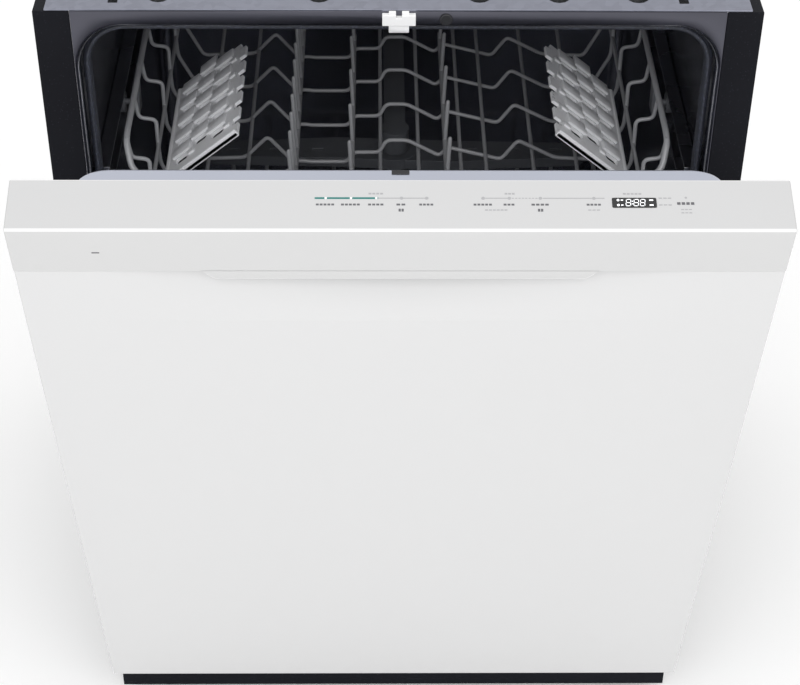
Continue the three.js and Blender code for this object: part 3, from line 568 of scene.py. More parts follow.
def soften(bm: bmesh.types.BMesh, edges: Iterable[bmesh.types.BMEdge], width: float,
           segments: int = 3) -> list[bmesh.types.BMFace]:
    """Rounds edges.

    Args:
        bm: The bench mesh.
        edges: The edges to round.
        width: The rounding's width.
        segments: Its steps.

    Returns:
        The new faces.
    """
    done = bmesh.ops.bevel(bm, geom=list(edges), offset=width, offset_type="OFFSET",
                           segments=segments, profile=0.5, affect="EDGES", clamp_overlap=True,
                           material=-1)
    return done["faces"]


def thicken(piece: bpy.types.Object, thickness: float, offset: float = -1.0) -> None:
    """Gives a sheet piece its wall, in millimetres, inwards unless offset says otherwise."""
    wall = piece.modifiers.new("wall", "SOLIDIFY")
    wall.thickness = thickness * MM
    wall.offset = offset
    wall.use_even_offset = True
    shading = piece.modifiers.new("even_shading", "WEIGHTED_NORMAL")
    shading.keep_sharp = True


def rounded(piece: bpy.types.Object, width: float, segments: int = 2, angle: float = 35.0) -> None:
    """Rounds a piece's sharp edges by a live bevel, in millimetres."""
    bevel = piece.modifiers.new("rounding", "BEVEL")
    bevel.width = width * MM
    bevel.segments = segments
    bevel.limit_method = "ANGLE"
    bevel.angle_limit = math.radians(angle)
    bevel.harden_normals = True


def block(bm: bmesh.types.BMesh, low: Point, high: Point, edge: float = 0.0) -> None:
    """Adds a block between its lowest and highest corners, with all its edges rounded by edge."""
    size = [b - a for a, b in zip(low, high)]
    middle = [(a + b) / 2 for a, b in zip(low, high)]
    place = Matrix.Translation(middle) @ Matrix.Diagonal((*size, 1.0))
    verts = bmesh.ops.create_cube(bm, size=1.0, matrix=place)["verts"]
    if edge:
        soften(bm, once(e for v in verts for e in v.link_edges), edge, 2)


def disc(bm: bmesh.types.BMesh, centre: Point, radius: float, height: float, steps: int = 20) -> None:
    """Adds a short upright cylinder standing on its centre point."""
    place = Matrix.Translation((centre[0], centre[1], centre[2] + height / 2))
    bmesh.ops.create_cone(bm, cap_ends=True, segments=steps, radius1=radius, radius2=radius,
                          depth=height, matrix=place)


def rod(bm: bmesh.types.BMesh, middle: Point, turned: str, radius: float, length: float) -> None:
    """Adds a rod laid over by a quarter turn about an axis, so X lays it along Y and Y along X."""
    place = Matrix.Translation(middle) @ Matrix.Rotation(math.radians(90), 4, turned)
    bmesh.ops.create_cone(bm, cap_ends=True, segments=20, radius1=radius, radius2=radius,
                          depth=length, matrix=place)


def flush(edge: bmesh.types.BMEdge, axis: int, place: float) -> bool:
    """Tells whether both ends of an edge lie at a place along an axis."""
    return all(abs(v.co[axis] - place) < NEAR for v in edge.verts)


def once(items: Iterable[object]) -> list:
    """Drops repeats and keeps the order, so that every run builds alike."""
    return list(dict.fromkeys(items))


def only_verts(geometry: Iterable[object]) -> list[bmesh.types.BMVert]:
    """Picks the vertices out of an operator's result."""
    return [item for item in geometry if isinstance(item, bmesh.types.BMVert)]


def outline_face(bm: bmesh.types.BMesh, points: Sequence[Point]) -> bmesh.types.BMFace:
    """Adds one flat face with these corners."""
    return bm.faces.new([bm.verts.new(point) for point in points])


def draw_out(bm: bmesh.types.BMesh, face: bmesh.types.BMFace, way: Point) -> None:
    """Extrudes a face into a closed solid, as far and as way points."""
    result = bmesh.ops.extrude_face_region(bm, geom=[face], use_keep_orig=True)
    moved = only_verts(result["geom"])
    bmesh.ops.translate(bm, vec=way, verts=moved)


def arc(centre: Flat, radius: float, start: float, turn: float, steps: int) -> list[Flat]:
    """Gives points along an arc, angles in degrees."""
    angles = [math.radians(start + turn * i / steps) for i in range(steps + 1)]
    return [(centre[0] + radius * math.cos(a), centre[1] + radius * math.sin(a)) for a in angles]


def rounded_rectangle(u: Flat, v: Flat, radius: float, steps: int = 8) -> list[Flat]:
    """Gives the outline of a rectangle with round corners.

    Args:
        u: Its span across.
        v: Its span up.
        radius: Its corner radius.
        steps: Steps in each corner.

    Returns:
        The points, once round.
    """
    corners = ((u[1], v[0], -90), (u[1], v[1], 0), (u[0], v[1], 90), (u[0], v[0], 180))
    points: list[Flat] = []
    for cu, cv, start in corners:
        centre = (cu - math.copysign(radius, cu - sum(u) / 2), cv - math.copysign(radius, cv - sum(v) / 2))
        points += arc(centre, radius, start, 90, steps)
    return points


def filleted(points: Sequence[Point], radius: float, closed: bool = False) -> list[Point]:
    """Rounds the corners of a run of wire.

    Args:
        points: The run's corners.
        radius: Bend radius, cut down where a leg is short.
        closed: Whether the run is a ring.

    Returns:
        The points with each bend in steps.
    """
    corners = [Vector(p) for p in points]
    count = len(corners)
    out: list[Point] = []
    for i, here in enumerate(corners):
        if not closed and i in (0, count - 1):
            out.append(tuple(here))
            continue
        before, after = corners[i - 1], corners[(i + 1) % count]
        back, ahead = (before - here), (after - here)
        if back.angle(ahead) > math.radians(172):
            out.append(tuple(here))
            continue
        reach = min(radius, back.length * 0.45, ahead.length * 0.45)
        a, b = here + back.normalized() * reach, here + ahead.normalized() * reach
        for step in range(5):
            t = step / 4
            out.append(tuple(a.lerp(here, t).lerp(here.lerp(b, t), t)))
    return out


@dataclass(frozen=True)
class Run:
    """One length of wire: its corners, its thickness and whether it is a ring or a free tine."""

    points: Sequence[Point]
    radius: float = 2.2
    bend: float = 7.0
    closed: bool = False
    tip: bool = False


def bend_wires(runs: Sequence[Run], name: str, body: str, finish: Finish,
               stands_for: Sequence[str] = (), place: Matrix = CABINET) -> bpy.types.Object:
    """Bends wire runs and makes them one piece.

    Args:
        runs: The runs, in millimetres on the bench.
        name: The piece's name.
        body: The body it rides on.
        finish: Its coating.
        stands_for: CAD nodes that it replaces.
        place: Matrix from the bench to the row frame.

    Returns:
        The piece.
    """
    curve = bpy.data.curves.new(name + "_curve", "CURVE")
    curve.dimensions = "3D"
    curve.bevel_depth = 1.0
    curve.bevel_resolution = 2
    curve.use_fill_caps = True
    for run in runs:
        points = filleted(run.points, run.bend, run.closed)
        sizes = [run.radius] * len(points)
        if run.tip:
            end, last = Vector(points[-1]), Vector(points[-2])
            along = (end - last).normalized()
            points[-1] = tuple(end - along * run.radius)
            points += [tuple(end - along * run.radius * 0.4), tuple(end)]
            sizes += [run.radius * 0.8, run.radius * 0.35]
        spline = curve.splines.new("POLY")
        spline.points.add(len(points) - 1)
        for dot, point, size in zip(spline.points, points, sizes):
            dot.co = (*point, 1.0)
            dot.radius = size
        spline.use_cyclic_u = run.closed
    holder = bpy.data.objects.new(name + "_curve", curve)
    bpy.context.collection.objects.link(holder)
    mesh = bpy.data.meshes.new_from_object(holder)
    bpy.data.objects.remove(holder)
    mesh.transform(place)
    return enlist(mesh, name, body, [finish], stands_for, smooth=60.0)


def spun(bm: bmesh.types.BMesh, profile: Sequence[Flat], centre: Point, axis: Point,
         out: Point, steps: int = 32, closed: bool = False) -> None:
    """Spins a profile a full turn round an axis.

    Args:
        bm: The bench mesh.
        profile: Radius and height points; a closed one is a ring's section.
        centre: A point on the axis.
        axis: The axis, along which the heights are measured.
        out: The direction, square to the axis, in which the radii are measured.
        steps: Steps in the turn.
        closed: Whether the profile closes on itself.
    """
    up, away, origin = Vector(axis), Vector(out), Vector(centre)
    verts = [bm.verts.new(origin + away * r + up * h) for r, h in profile]
    pairs = list(zip(verts, verts[1:])) + ([(verts[-1], verts[0])] if closed else [])
    edges = [bm.edges.new(pair) for pair in pairs]
    bmesh.ops.spin(bm, geom=verts + edges, cent=origin, axis=up, angle=math.tau, steps=steps,
                   use_merge=True)
    bmesh.ops.remove_doubles(bm, verts=bm.verts, dist=1e-4)


@dataclass(frozen=True)
class Refit:
    """A hard CAD piece whose shape is right, taken up again with rounded edges and its finish."""

    node: str
    finish: Finish
    edge: float = 0.6
    smooth: float = CRISP

    def make(self) -> bpy.types.Object:
        """Copies, cleans and rounds the node's mesh.

        Returns:
            The piece that replaces the node.
        """
        bm = bmesh.new()
        bm.from_mesh(frame["nodes"][self.node].data)
        bmesh.ops.remove_doubles(bm, verts=bm.verts, dist=2e-6)
        bmesh.ops.dissolve_limit(bm, angle_limit=math.radians(1.0), verts=bm.verts, edges=bm.edges)
        piece = settle(bm, self.node + "_fine", Matrix.Identity(4), BODY_OF[self.node],
                       [self.finish], [self.node], self.smooth, recalculate=False)
        if self.edge:
            rounded(piece, self.edge)
        return piece


# ------------------------------------------------------------------ door


@dataclass
class DoorSkin:
    """Painted front panel with the finger scoop under the console, in door millimetres."""

    half: float = 303.0
    front: float = -62.0
    bottom: float = -67.3
    top: float = 625.3
    scoop_half: float = 240.0
    scoop_tall: float = 65.0
    scoop_deep: float = 21.5
    taper: float = 1.0
    cheek: float = -15.0
    foot: float = -40.0
    knee: float = 30.0
    sheet: float = 1.6
    bulge: float = 0.78
    fullness: float = 1.6
    fold: float = 2.2

    def depth(self, x: float, rise: float) -> float:
        """Gives how far the face is pressed in.

        Args:
            x: Place across the door.
            rise: 0 at the crease, 1 at the console.

        Returns:
            The depth behind the flat front.
        """
        inside = max(0.0, 1.0 - (x / self.scoop_half) ** 2)
        swell = rise * rise * (3.0 - 2.0 * rise)
        across = inside ** self.fullness
        pressed = self.bulge * swell + (1.0 - self.bulge) * rise
        return self.taper * rise + self.scoop_deep * across * pressed

    def make(self) -> bpy.types.Object:
        """Builds the panel and dresses it.

        Returns:
            The panel.
        """
        bm = bmesh.new()
        bmesh.ops.create_grid(bm, x_segments=120, y_segments=24, size=1.0)
        for vert in bm.verts:
            x, rise = vert.co.x * self.half, (vert.co.y + 1.0) / 2.0
            vert.co = (x, self.front + self.depth(x, rise), self.top - (1.0 - rise) * self.scoop_tall)
        lowest = self.top - self.scoop_tall
        for level in (self.knee, self.bottom):
            edges = [e for e in bm.edges if e.is_boundary and all(v.co.z < lowest + 0.1 for v in e.verts)
                     and abs(e.verts[0].co.z - e.verts[1].co.z) < 0.1]
            grown = bmesh.ops.extrude_edge_only(bm, edges=edges)["geom"]
            for vert in only_verts(grown):
                vert.co.z = level
            lowest = level
        self.fold_back(bm)
        piece = settle(bm, "door_skin", DOOR, "door", [ENAMEL], ["door_panel"], 40.0,
                       recalculate=False)
        thicken(piece, self.sheet)
        return piece

    def fold_back(self, bm: bmesh.types.BMesh) -> None:
        """Folds the side and bottom returns back from the face and rounds the folds."""
        rim = [e for e in bm.edges if e.is_boundary and (
            flush(e, 0, self.half) or flush(e, 0, -self.half) or flush(e, 2, self.bottom))]
        folded = bmesh.ops.extrude_edge_only(bm, edges=rim)["geom"]
        for vert in only_verts(folded):
            vert.co.y = self.foot
        bm.faces.ensure_lookup_table()
        cheeks = [e for e in bm.edges if e.is_boundary and flush(e, 1, self.foot)
                  and all(v.co.z > self.knee - 0.1 for v in e.verts)]
        further = bmesh.ops.extrude_edge_only(bm, edges=cheeks)["geom"]
        for vert in only_verts(further):
            vert.co.y = self.cheek
        bmesh.ops.recalc_face_normals(bm, faces=bm.faces)
        if sum(f.normal.y * f.calc_area() for f in bm.faces) > 0:
            bmesh.ops.reverse_faces(bm, faces=bm.faces)
        soften(bm, [e for e in rim if e.is_valid], self.fold, 4)


@dataclass
class Console:
    """Control console over the door: control surface on top, band in front and the grip's lip."""

    half: float = 303.0
    front: float = -62.0
    bottom: float = 625.6
    top: float = 675.0
    rear: float = -12.5
    rise: float = 2.4
    rear_bottom: float = 650.0
    wall: float = 2.6
    nose: float = 1.8
    heel: float = 1.6
    lip_half: float = 156.0
    lip_low: float = 147.0
    lip_drop: float = 10.0
    lip_thick: float = 4.0

    @property
    def slope(self) -> float:
        """Tilt of the control surface, in radians."""
        return math.atan(self.rise / (self.rear - self.front))

    def surface(self) -> Matrix:
        """Place of the control surface: x across, y back from the front edge, z out of it."""
        return (DOOR @ Matrix.Translation((0.0, self.front, self.top))
                @ Matrix.Rotation(self.slope, 4, "X"))

    def make(self) -> bpy.types.Object:
        """Builds the console's shell and lip.

        Returns:
            The console.
        """
        bm = bmesh.new()
        section = [(self.front, self.bottom), (self.front, self.top), (self.rear, self.top + self.rise),
                   (self.rear, self.rear_bottom)]
        face = outline_face(bm, [(-self.half, y, z) for y, z in section])
        draw_out(bm, face, (2 * self.half, 0.0, 0.0))
        bmesh.ops.recalc_face_normals(bm, faces=bm.faces)
        under = [f for f in bm.faces if f.normal.z < -0.5]
        bmesh.ops.delete(bm, geom=under, context="FACES_ONLY")
        # The rounded front and rear crests take material 1, a lighter white that paints the highlight along these
        # edges.
        for y, z, width, steps in ((self.front, self.top, self.nose, 5),
                                   (self.rear, self.top + self.rise, self.heel, 3)):
            crest = [e for e in bm.edges if flush(e, 1, y) and flush(e, 2, z)]
            for face in soften(bm, crest, width, steps):
                face.material_index = 1
        corners = [e for e in bm.edges if not e.is_boundary and len(e.link_faces) == 2
                   and e.calc_face_angle(0.0) > math.radians(60)]
        soften(bm, corners, 1.2, 3)
        bm.normal_update()
        for face in bm.faces:
            if face.normal.z > 0.98 and face.calc_area() > 5000:
                face.material_index = 2
        piece = settle(bm, "console_shell", DOOR, "door", [CONSOLE_WHITE, EDGE_WHITE, CONTROL_FILM],
                       ["door_fascia"], 34.0)
        thicken(piece, self.wall)
        self.make_lip()
        return piece

    def make_lip(self) -> bpy.types.Object:
        """Builds the lip that hangs over the finger scoop.

        Returns:
            The lip.
        """
        bm = bmesh.new()
        low = self.bottom - self.lip_drop
        face = outline_face(bm, [(-self.lip_low, self.front, low), (self.lip_low, self.front, low),
                                 (self.lip_half, self.front, self.bottom + 0.6),
                                 (-self.lip_half, self.front, self.bottom + 0.6)])
        draw_out(bm, face, (0.0, self.lip_thick, 0.0))
        upright = [e for e in bm.edges if abs(e.verts[0].co.y - e.verts[1].co.y) > 1.0
                   and e.verts[0].co.z < self.bottom]
        soften(bm, upright, 3.0, 4)
        brim = [e for e in bm.edges if all(v.co.z < self.bottom for v in e.verts)
                and flush(e, 1, self.front)]
        # The lip's rounded lower brim takes material 1, the same painted highlight.
        for face in soften(bm, brim, 1.0, 3):
            face.material_index = 1
        return settle(bm, "grip_lip", DOOR, "door", [CONSOLE_WHITE, EDGE_WHITE])


@dataclass
class ControlMarks:
    """Printed cycle line, dots and generic label bars on the control surface, in millimetres.

    Distances back are from the console's front edge. Labels, notes and headings are given as
    their middle and their width.
    """

    console: Console
    lift: float = 0.16
    line_back: float = 31.0
    label_back: float = 24.8
    heading_back: float = 35.4
    teal_line: Flat = (-66.5, -17.5)
    grey_lines: tuple[Flat, ...] = ((-17.2, 19.8), (64.5, 83.0), *(
        (85.5 + i * 2.6, 87.0 + i * 2.6) for i in range(9)), (109.5, 157.0))
    white_stops: tuple[float, ...] = (-58.0, -38.5, -19.0)
    grey_stops: tuple[float, ...] = (0.4, 19.8, 63.3, 83.5, 107.5, 148.8)
    labels: tuple[Flat, ...] = ((-58.0, 14.8), (-38.5, 15.2), (-19.0, 12.6), (0.4, 7.8), (19.8, 11.4),
                                (63.3, 14.8), (83.5, 9.0), (107.5, 14.2), (148.8, 11.6))
    notes: tuple[Flat, ...] = ((73.5, 18.0), (148.8, 10.0))
    headings: tuple[Flat, ...] = ((-19.0, 12.0), (84.3, 8.4), (179.1, 15.0))
    button_x: float = 219.9
    option_x: float = 204.2

    def bar(self, bm: bmesh.types.BMesh, x0: float, x1: float, back: float, wide: float) -> None:
        """Adds one printed bar between two places across."""
        block(bm, (x0, back - wide / 2, -0.2), (x1, back + wide / 2, self.lift))

    def words(self, bm: bmesh.types.BMesh, x: float, back: float, wide: float, tall: float = 1.7) -> None:
        """Adds a label as a row of plain dashes, centred at x.

        Args:
            bm: The bench mesh.
            x: Middle of the label.
            back: Distance from the front edge.
            wide: Its whole width.
            tall: Its height.
        """
        count = max(2, round(wide / 3.2))
        step = wide / count
        for i in range(count):
            left = x - wide / 2 + i * step
            self.bar(bm, left, left + step * 0.72, back, tall)

    def ring(self, bm: bmesh.types.BMesh, x: float, back: float, radius: float) -> None:
        """Adds a printed dot."""
        disc(bm, (x, back, -0.2), radius, self.lift + 0.2 + 0.02)

    def make(self) -> None:
        """Builds every printed mark, one piece per ink."""
        surface = self.console.surface()
        teal, grey, dark, white = (bmesh.new() for _ in range(4))
        self.bar(teal, *self.teal_line, self.line_back, 1.5)
        for line in self.grey_lines:
            self.bar(grey, *line, self.line_back, 0.7)
        for x in self.white_stops:
            self.ring(white, x, self.line_back, 1.0)
        for x in self.grey_stops:
            self.ring(grey, x, self.line_back, 1.35)
        for x, wide in self.labels:
            self.words(dark, x, self.label_back, wide)
        for x in (self.grey_stops[0], self.grey_stops[4]):
            self.words(dark, x, self.label_back - 5.4, 4.6, 2.6)
        for (x, wide), tall in zip(self.notes, (1.0, 0.9)):
            self.words(grey, x, self.label_back - 5.2, wide, tall)
        for x, wide in self.headings:
            self.words(grey, x, self.heading_back, wide, 1.4)
        for back in (31.2, 24.6):
            self.words(grey, self.option_x, back, 10.8, 0.9)
        self.words(dark, self.button_x, 26.0, 14.2, 2.4)
        self.ring(grey, self.button_x, 31.6, 0.9)
        for back in (20.2, 17.0):
            self.words(grey, self.button_x, back, 9.0, 0.8)
        for bm, finish in ((teal, TEAL_INK), (grey, GREY_INK), (dark, DARK_INK), (white, WHITE_INK)):
            settle(bm, "control_marks_" + FINISH_NAMES[finish].split("_")[0], surface, "door", [finish])
        self.make_vent_mark()

    def make_vent_mark(self) -> None:
        """Builds the small dark slot mark on the front band."""
        bm = bmesh.new()
        block(bm, (-239.0, -62.2, 647.3), (-233.0, -61.6, 648.7), 0.2)
        settle(bm, "status_slot", DOOR, "door", [DARK_INK])


@dataclass
class Display:
    """Black display window with plain seven-segment numbers, in millimetres on the console."""

    console: Console
    x: float = 179.8
    back: float = 26.6
    wide: float = 34.4
    deep: float = 9.6
    digit: Flat = (3.5, 6.2)
    stroke: float = 0.45
    lean: float = 0.12
    lit: Flat = (0.3, 0.5)

    def light(self, bm: bmesh.types.BMesh, low: Flat, high: Flat) -> None:
        """Adds one lit bar, given across and from the window's middle line."""
        block(bm, (low[0], self.back + low[1], self.lit[0]), (high[0], self.back + high[1], self.lit[1]))

    def add_eight(self, bm: bmesh.types.BMesh, x: float) -> None:
        """Adds an eight, all seven segments lit, from a at the top clockwise to g in the middle."""
        w, h, s = self.digit[0] / 2, self.digit[1] / 2, self.stroke
        level = {"a": h, "g": 0.0, "d": -h}
        upright = {"b": (w, 1), "c": (w, -1), "e": (-w, -1), "f": (-w, 1)}
        for name in "abcdefg":
            if name in level:
                low, high = (-w + s, level[name] - s / 2), (w - s, level[name] + s / 2)
            else:
                side, way = upright[name]
                ends = sorted((way * s * 0.7, way * (h - s * 0.7)))
                low, high = (side - s / 2, ends[0]), (side + s / 2, ends[1])
            middle = (low[1] + high[1]) / 2
            shift = x + self.lean * middle
            self.light(bm, (low[0] + shift, low[1]), (high[0] + shift, high[1]))

    def make(self) -> None:
        """Builds the window and its lit marks."""
        surface = self.console.surface()
        bm = bmesh.new()
        points = rounded_rectangle((self.x - self.wide / 2, self.x + self.wide / 2),
                                   (self.back - self.deep / 2, self.back + self.deep / 2), 1.2, 5)
        face = outline_face(bm, [(u, v, -0.6) for u, v in points])
        draw_out(bm, face, (0.0, 0.0, 0.9))
        settle(bm, "display_glass", surface, "door", [BLACK_GLASS], ["display_window"])
        lit = bmesh.new()
        start = self.x - 4.6
        base, tall = self.lit[0], 0.2
        for place in (0.0, 6.0, 11.0):
            self.add_eight(lit, start + place)
        for rise in (-1.3, 1.3):
            disc(lit, (start + 3.0 + rise * self.lean, self.back + rise, base), 0.45, tall, 12)
        for rise in (-2.4, 2.4):
            disc(lit, (self.x - 12.5, self.back + rise, base), 1.0, tall, 16)
            self.light(lit, (self.x - 10.4, rise - 0.4), (self.x - 8.6, rise + 0.4))
            self.light(lit, (self.x + 11.6, rise - 0.5), (self.x + 14.6, rise + 0.5))
        settle(lit, "display_numbers", surface, "door", [DIGIT_LIGHT])


@dataclass
class DoorLiner:
    """Pressed steel inner door: flange plate and a raised pan with round corners, door millimetres."""

    half: float = 283.0
    bottom: float = -5.0
    top: float = 649.5
    flange: float = -12.5
    pan_half: float = 262.0
    pan_bottom: float = 20.0
    pan_top: float = 670.5
    back: float = 6.0
    corner: float = 34.0
    sheet: float = 2.0
    opening: tuple[float, float, float, float] = (-91.0, 41.0, 334.0, 446.0)

    def make(self) -> bpy.types.Object:
        """Builds the pan and its flange.

        Returns:
            The liner.
        """
        bm = bmesh.new()
        rim = rounded_rectangle((-self.pan_half, self.pan_half), (self.pan_bottom, self.pan_top),
                                self.corner, 10)
        face = outline_face(bm, [(u, self.flange, v) for u, v in rim])
        draw_out(bm, face, (0.0, self.back - self.flange, 0.0))
        bmesh.ops.recalc_face_normals(bm, faces=bm.faces)
        base = [f for f in bm.faces if f.normal.y < -0.9]
        bmesh.ops.delete(bm, geom=base, context="FACES_ONLY")
        crown = [e for e in bm.edges if len(e.link_faces) == 2 and flush(e, 1, self.back)]
        soften(bm, crown, 5.0, 5)
        self.press_ribs(bm)
        self.cut_opening(bm)
        piece = settle(bm, "door_pan", DOOR, "door", [LINER_STEEL], ["door_liner"], 30.0)
        thicken(piece, self.sheet)
        self.make_flange()
        return piece

    def press_ribs(self, bm: bmesh.types.BMesh) -> None:
        """Presses a shallow field into the pan's face."""
        flat = max((f for f in bm.faces if f.normal.y > 0.9), key=lambda f: f.calc_area())
        bmesh.ops.inset_region(bm, faces=[flat], thickness=26.0, depth=0.0)
        bmesh.ops.inset_region(bm, faces=[flat], thickness=5.0, depth=-1.6)

    def cut_opening(self, bm: bmesh.types.BMesh) -> None:
        """Opens the face where the dispenser sits."""
        x0, x1, z0, z1 = self.opening
        for point, normal in (((x0, 0, 0), (1, 0, 0)), ((x1, 0, 0), (1, 0, 0)),
                              ((0, 0, z0), (0, 0, 1)), ((0, 0, z1), (0, 0, 1))):
            faces = [f for f in bm.faces if f.normal.y > 0.99]
            parts = once(e for f in faces for e in f.edges) + once(v for f in faces for v in f.verts) + faces
            bmesh.ops.bisect_plane(bm, geom=parts, dist=0.001, plane_co=point, plane_no=normal)
        inside = [f for f in bm.faces if f.normal.y > 0.99
                  and x0 < f.calc_center_median().x < x1 and z0 < f.calc_center_median().z < z1]
        bmesh.ops.delete(bm, geom=inside, context="FACES")

    def make_flange(self) -> bpy.types.Object:
        """Builds the flat plate round the pan, as a ring.

        Returns:
            The flange.
        """
        bm = bmesh.new()
        outer = rounded_rectangle((-self.half, self.half), (self.bottom, self.top), 3.0, 3)
        inner = rounded_rectangle((-self.pan_half + 1, self.pan_half - 1),
                                  (self.pan_bottom + 1, self.top - 8.0), 30.0, 8)
        plate_with_holes(bm, [(u, self.flange, v) for u, v in outer],
                         [[(u, self.flange, v) for u, v in inner]])
        piece = settle(bm, "door_flange", DOOR, "door", [LINER_STEEL])
        thicken(piece, self.sheet, 1.0 if piece.data.polygons[0].normal.y < 0 else -1.0)
        return piece


def plate_with_holes(bm: bmesh.types.BMesh, rim: Sequence[Point], holes: Sequence[Sequence[Point]]) -> None:
    """Fills a flat plate that has holes.

    Args:
        bm: The bench mesh.
        rim: The plate's outline.
        holes: Outlines of its holes.
    """
    edges = []
    for loop in (rim, *holes):
        verts = [bm.verts.new(point) for point in loop]
        edges += [bm.edges.new(pair) for pair in zip(verts, verts[1:] + verts[:1])]
    bmesh.ops.triangle_fill(bm, use_beauty=True, use_dissolve=False, edges=edges)


@dataclass
class Door:
    """Everything that swings with the door."""

    felt_half: float = 279.0
    felt_front: float = -59.4
    felt_thick: float = 14.0
    felt_middle: float = 250.0
    felt_tall: float = 608.0

    def make(self) -> None:
        """Builds the door's pieces."""
        console = Console()
        DoorSkin().make()
        console.make()
        ControlMarks(console).make()
        Display(console).make()
        DoorLiner().make()
        self.make_felt()
        for node, finish, edge in (("control_board", BOARD_GREEN, 0.2), ("dispenser_body", GREY_PLASTIC, 1.0),
                                   ("dispenser_lid", GREY_PLASTIC, 0.8), ("rinse_cap", BLACK_PART, 0.8),
                                   ("door_latch", BLACK_PART, 0.6), ("hinge_arm_left", GALVANISED, 0.5),
                                   ("hinge_arm_right", GALVANISED, 0.5)):
            Refit(node, finish, edge).make()

    def make_felt(self) -> bpy.types.Object:
        """Builds the sound-deadening pad behind the panel, with a slightly uneven face.

        Returns:
            The pad.
        """
        bm = bmesh.new()
        bmesh.ops.create_grid(bm, x_segments=60, y_segments=66, size=1.0)
        for vert in bm.verts:
            x, z = vert.co.x * self.felt_half, self.felt_middle + vert.co.y * self.felt_tall / 2
            swell = noise.noise(Vector((x, z, 7.0)) * 0.02)
            edge = min(1.0, 9.0 * (1.0 - max(abs(vert.co.x), abs(vert.co.y))))
            vert.co = (x, self.felt_front + self.felt_thick - 3.0 + edge * (1.0 + 1.4 * swell), z)
        back = bmesh.ops.extrude_edge_only(bm, edges=[e for e in bm.edges if e.is_boundary])["geom"]
        for vert in only_verts(back):
            vert.co.y = self.felt_front
        rim = [e for e in bm.edges if e.is_boundary]
        bmesh.ops.holes_fill(bm, edges=rim)
        piece = settle(bm, "door_felt", DOOR, "door", [FELT], ["door_insulation"])
        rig.padded(piece, fill=0.9)
        return piece


# ------------------------------------------------------------------ cabinet


@dataclass
class Tub:
    """Drawn steel tub with its front flange, in cabinet millimetres."""

    half: float = 271.5
    bottom: float = 162.0
    top: float = 832.0
    rear: float = 560.0
    corner: float = 40.0
    wall: float = 2.4
    flange_half: float = 275.0
    flange_bottom: float = 150.0
    flange_top: float = 846.0
    lip: float = 3.0
    drain_y: float = 300.0
    drain: float = 92.0

    def make(self) -> bpy.types.Object:
        """Builds the tub's inner skin, its rolled lip and its flange.

        Returns:
            The tub.
        """
        bm = bmesh.new()
        ring = rounded_rectangle((-self.half, self.half), (self.bottom, self.top), self.corner, 12)
        face = outline_face(bm, [(u, 0.0, v) for u, v in ring])
        draw_out(bm, face, (0.0, self.rear, 0.0))
        bmesh.ops.recalc_face_normals(bm, faces=bm.faces)
        bmesh.ops.delete(bm, geom=[f for f in bm.faces if f.normal.y < -0.9], context="FACES_ONLY")
        back = [e for e in bm.edges if flush(e, 1, self.rear)]
        soften(bm, back, 18.0, 5)
        self.open_drain(bm)
        mouth = [e for e in bm.edges if e.is_boundary and flush(e, 1, 0.0)]
        bmesh.ops.translate(bm, vec=(0.0, self.lip, 0.0), verts=once(v for e in mouth for v in e.verts))
        centre = Vector((0.0, 0.0, (self.bottom + self.top) / 2))
        for step in range(1, 5):
            grown = bmesh.ops.extrude_edge_only(bm, edges=mouth)["geom"]
            mouth = [item for item in grown if isinstance(item, bmesh.types.BMEdge)]
            turn = math.radians(90.0 * step / 4)
            before = math.radians(90.0 * (step - 1) / 4)
            out = self.lip * (math.cos(before) - math.cos(turn))
            for vert in once(v for e in mouth for v in e.verts):
                vert.co.y = self.lip * (1.0 - math.sin(turn))
                away = vert.co - centre
                vert.co.x += math.copysign(out, away.x) * min(1.0, abs(away.x) / self.half)
                vert.co.z += math.copysign(out, away.z) * min(1.0, abs(away.z) / (self.top - centre.z))
        half, low, high = self.flange_half, self.flange_bottom, self.flange_top
        outer = [(x, 0.0, z) for x, z in ((-half, low), (half, low), (half, high), (-half, high))]
        verts = [bm.verts.new(point) for point in outer]
        rim = [bm.edges.new(pair) for pair in zip(verts, verts[1:] + verts[:1])]
        bmesh.ops.triangle_fill(bm, use_beauty=True, use_dissolve=False, edges=rim + mouth)
        bmesh.ops.recalc_face_normals(bm, faces=bm.faces)
        back_wall = max((f for f in bm.faces if abs(f.normal.y) > 0.9 and f.calc_center_median().y > 400),
                        key=lambda f: f.calc_area())
        if back_wall.normal.y > 0:
            bmesh.ops.reverse_faces(bm, faces=bm.faces)
        for face in bm.faces:
            if abs(face.normal.y) > 0.9 and abs(face.calc_center_median().y) < 1.0:
                face.material_index = 1
        piece = settle(bm, "tub_shell", CABINET, "body", [TUB_STEEL, FLANGE_STEEL], ["tub"], 34.0,
                       recalculate=False)
        thicken(piece, self.wall)
        return piece

    def open_drain(self, bm: bmesh.types.BMesh) -> None:
        """Opens the round hole over the sump in the tub's floor."""
        floor = [f for f in bm.faces if f.normal.z < -0.99 and f.calc_area() > 5000]
        rim = [e for f in floor for e in f.edges]
        bmesh.ops.delete(bm, geom=floor, context="FACES_ONLY")
        place = Matrix.Translation((0.0, self.drain_y, self.bottom))
        hole = bmesh.ops.create_circle(bm, cap_ends=False, segments=40, radius=self.drain,
                                       matrix=place)["verts"]
        rim += once(e for v in hole for e in v.link_edges)
        bmesh.ops.triangle_fill(bm, use_beauty=True, use_dissolve=False, edges=rim)


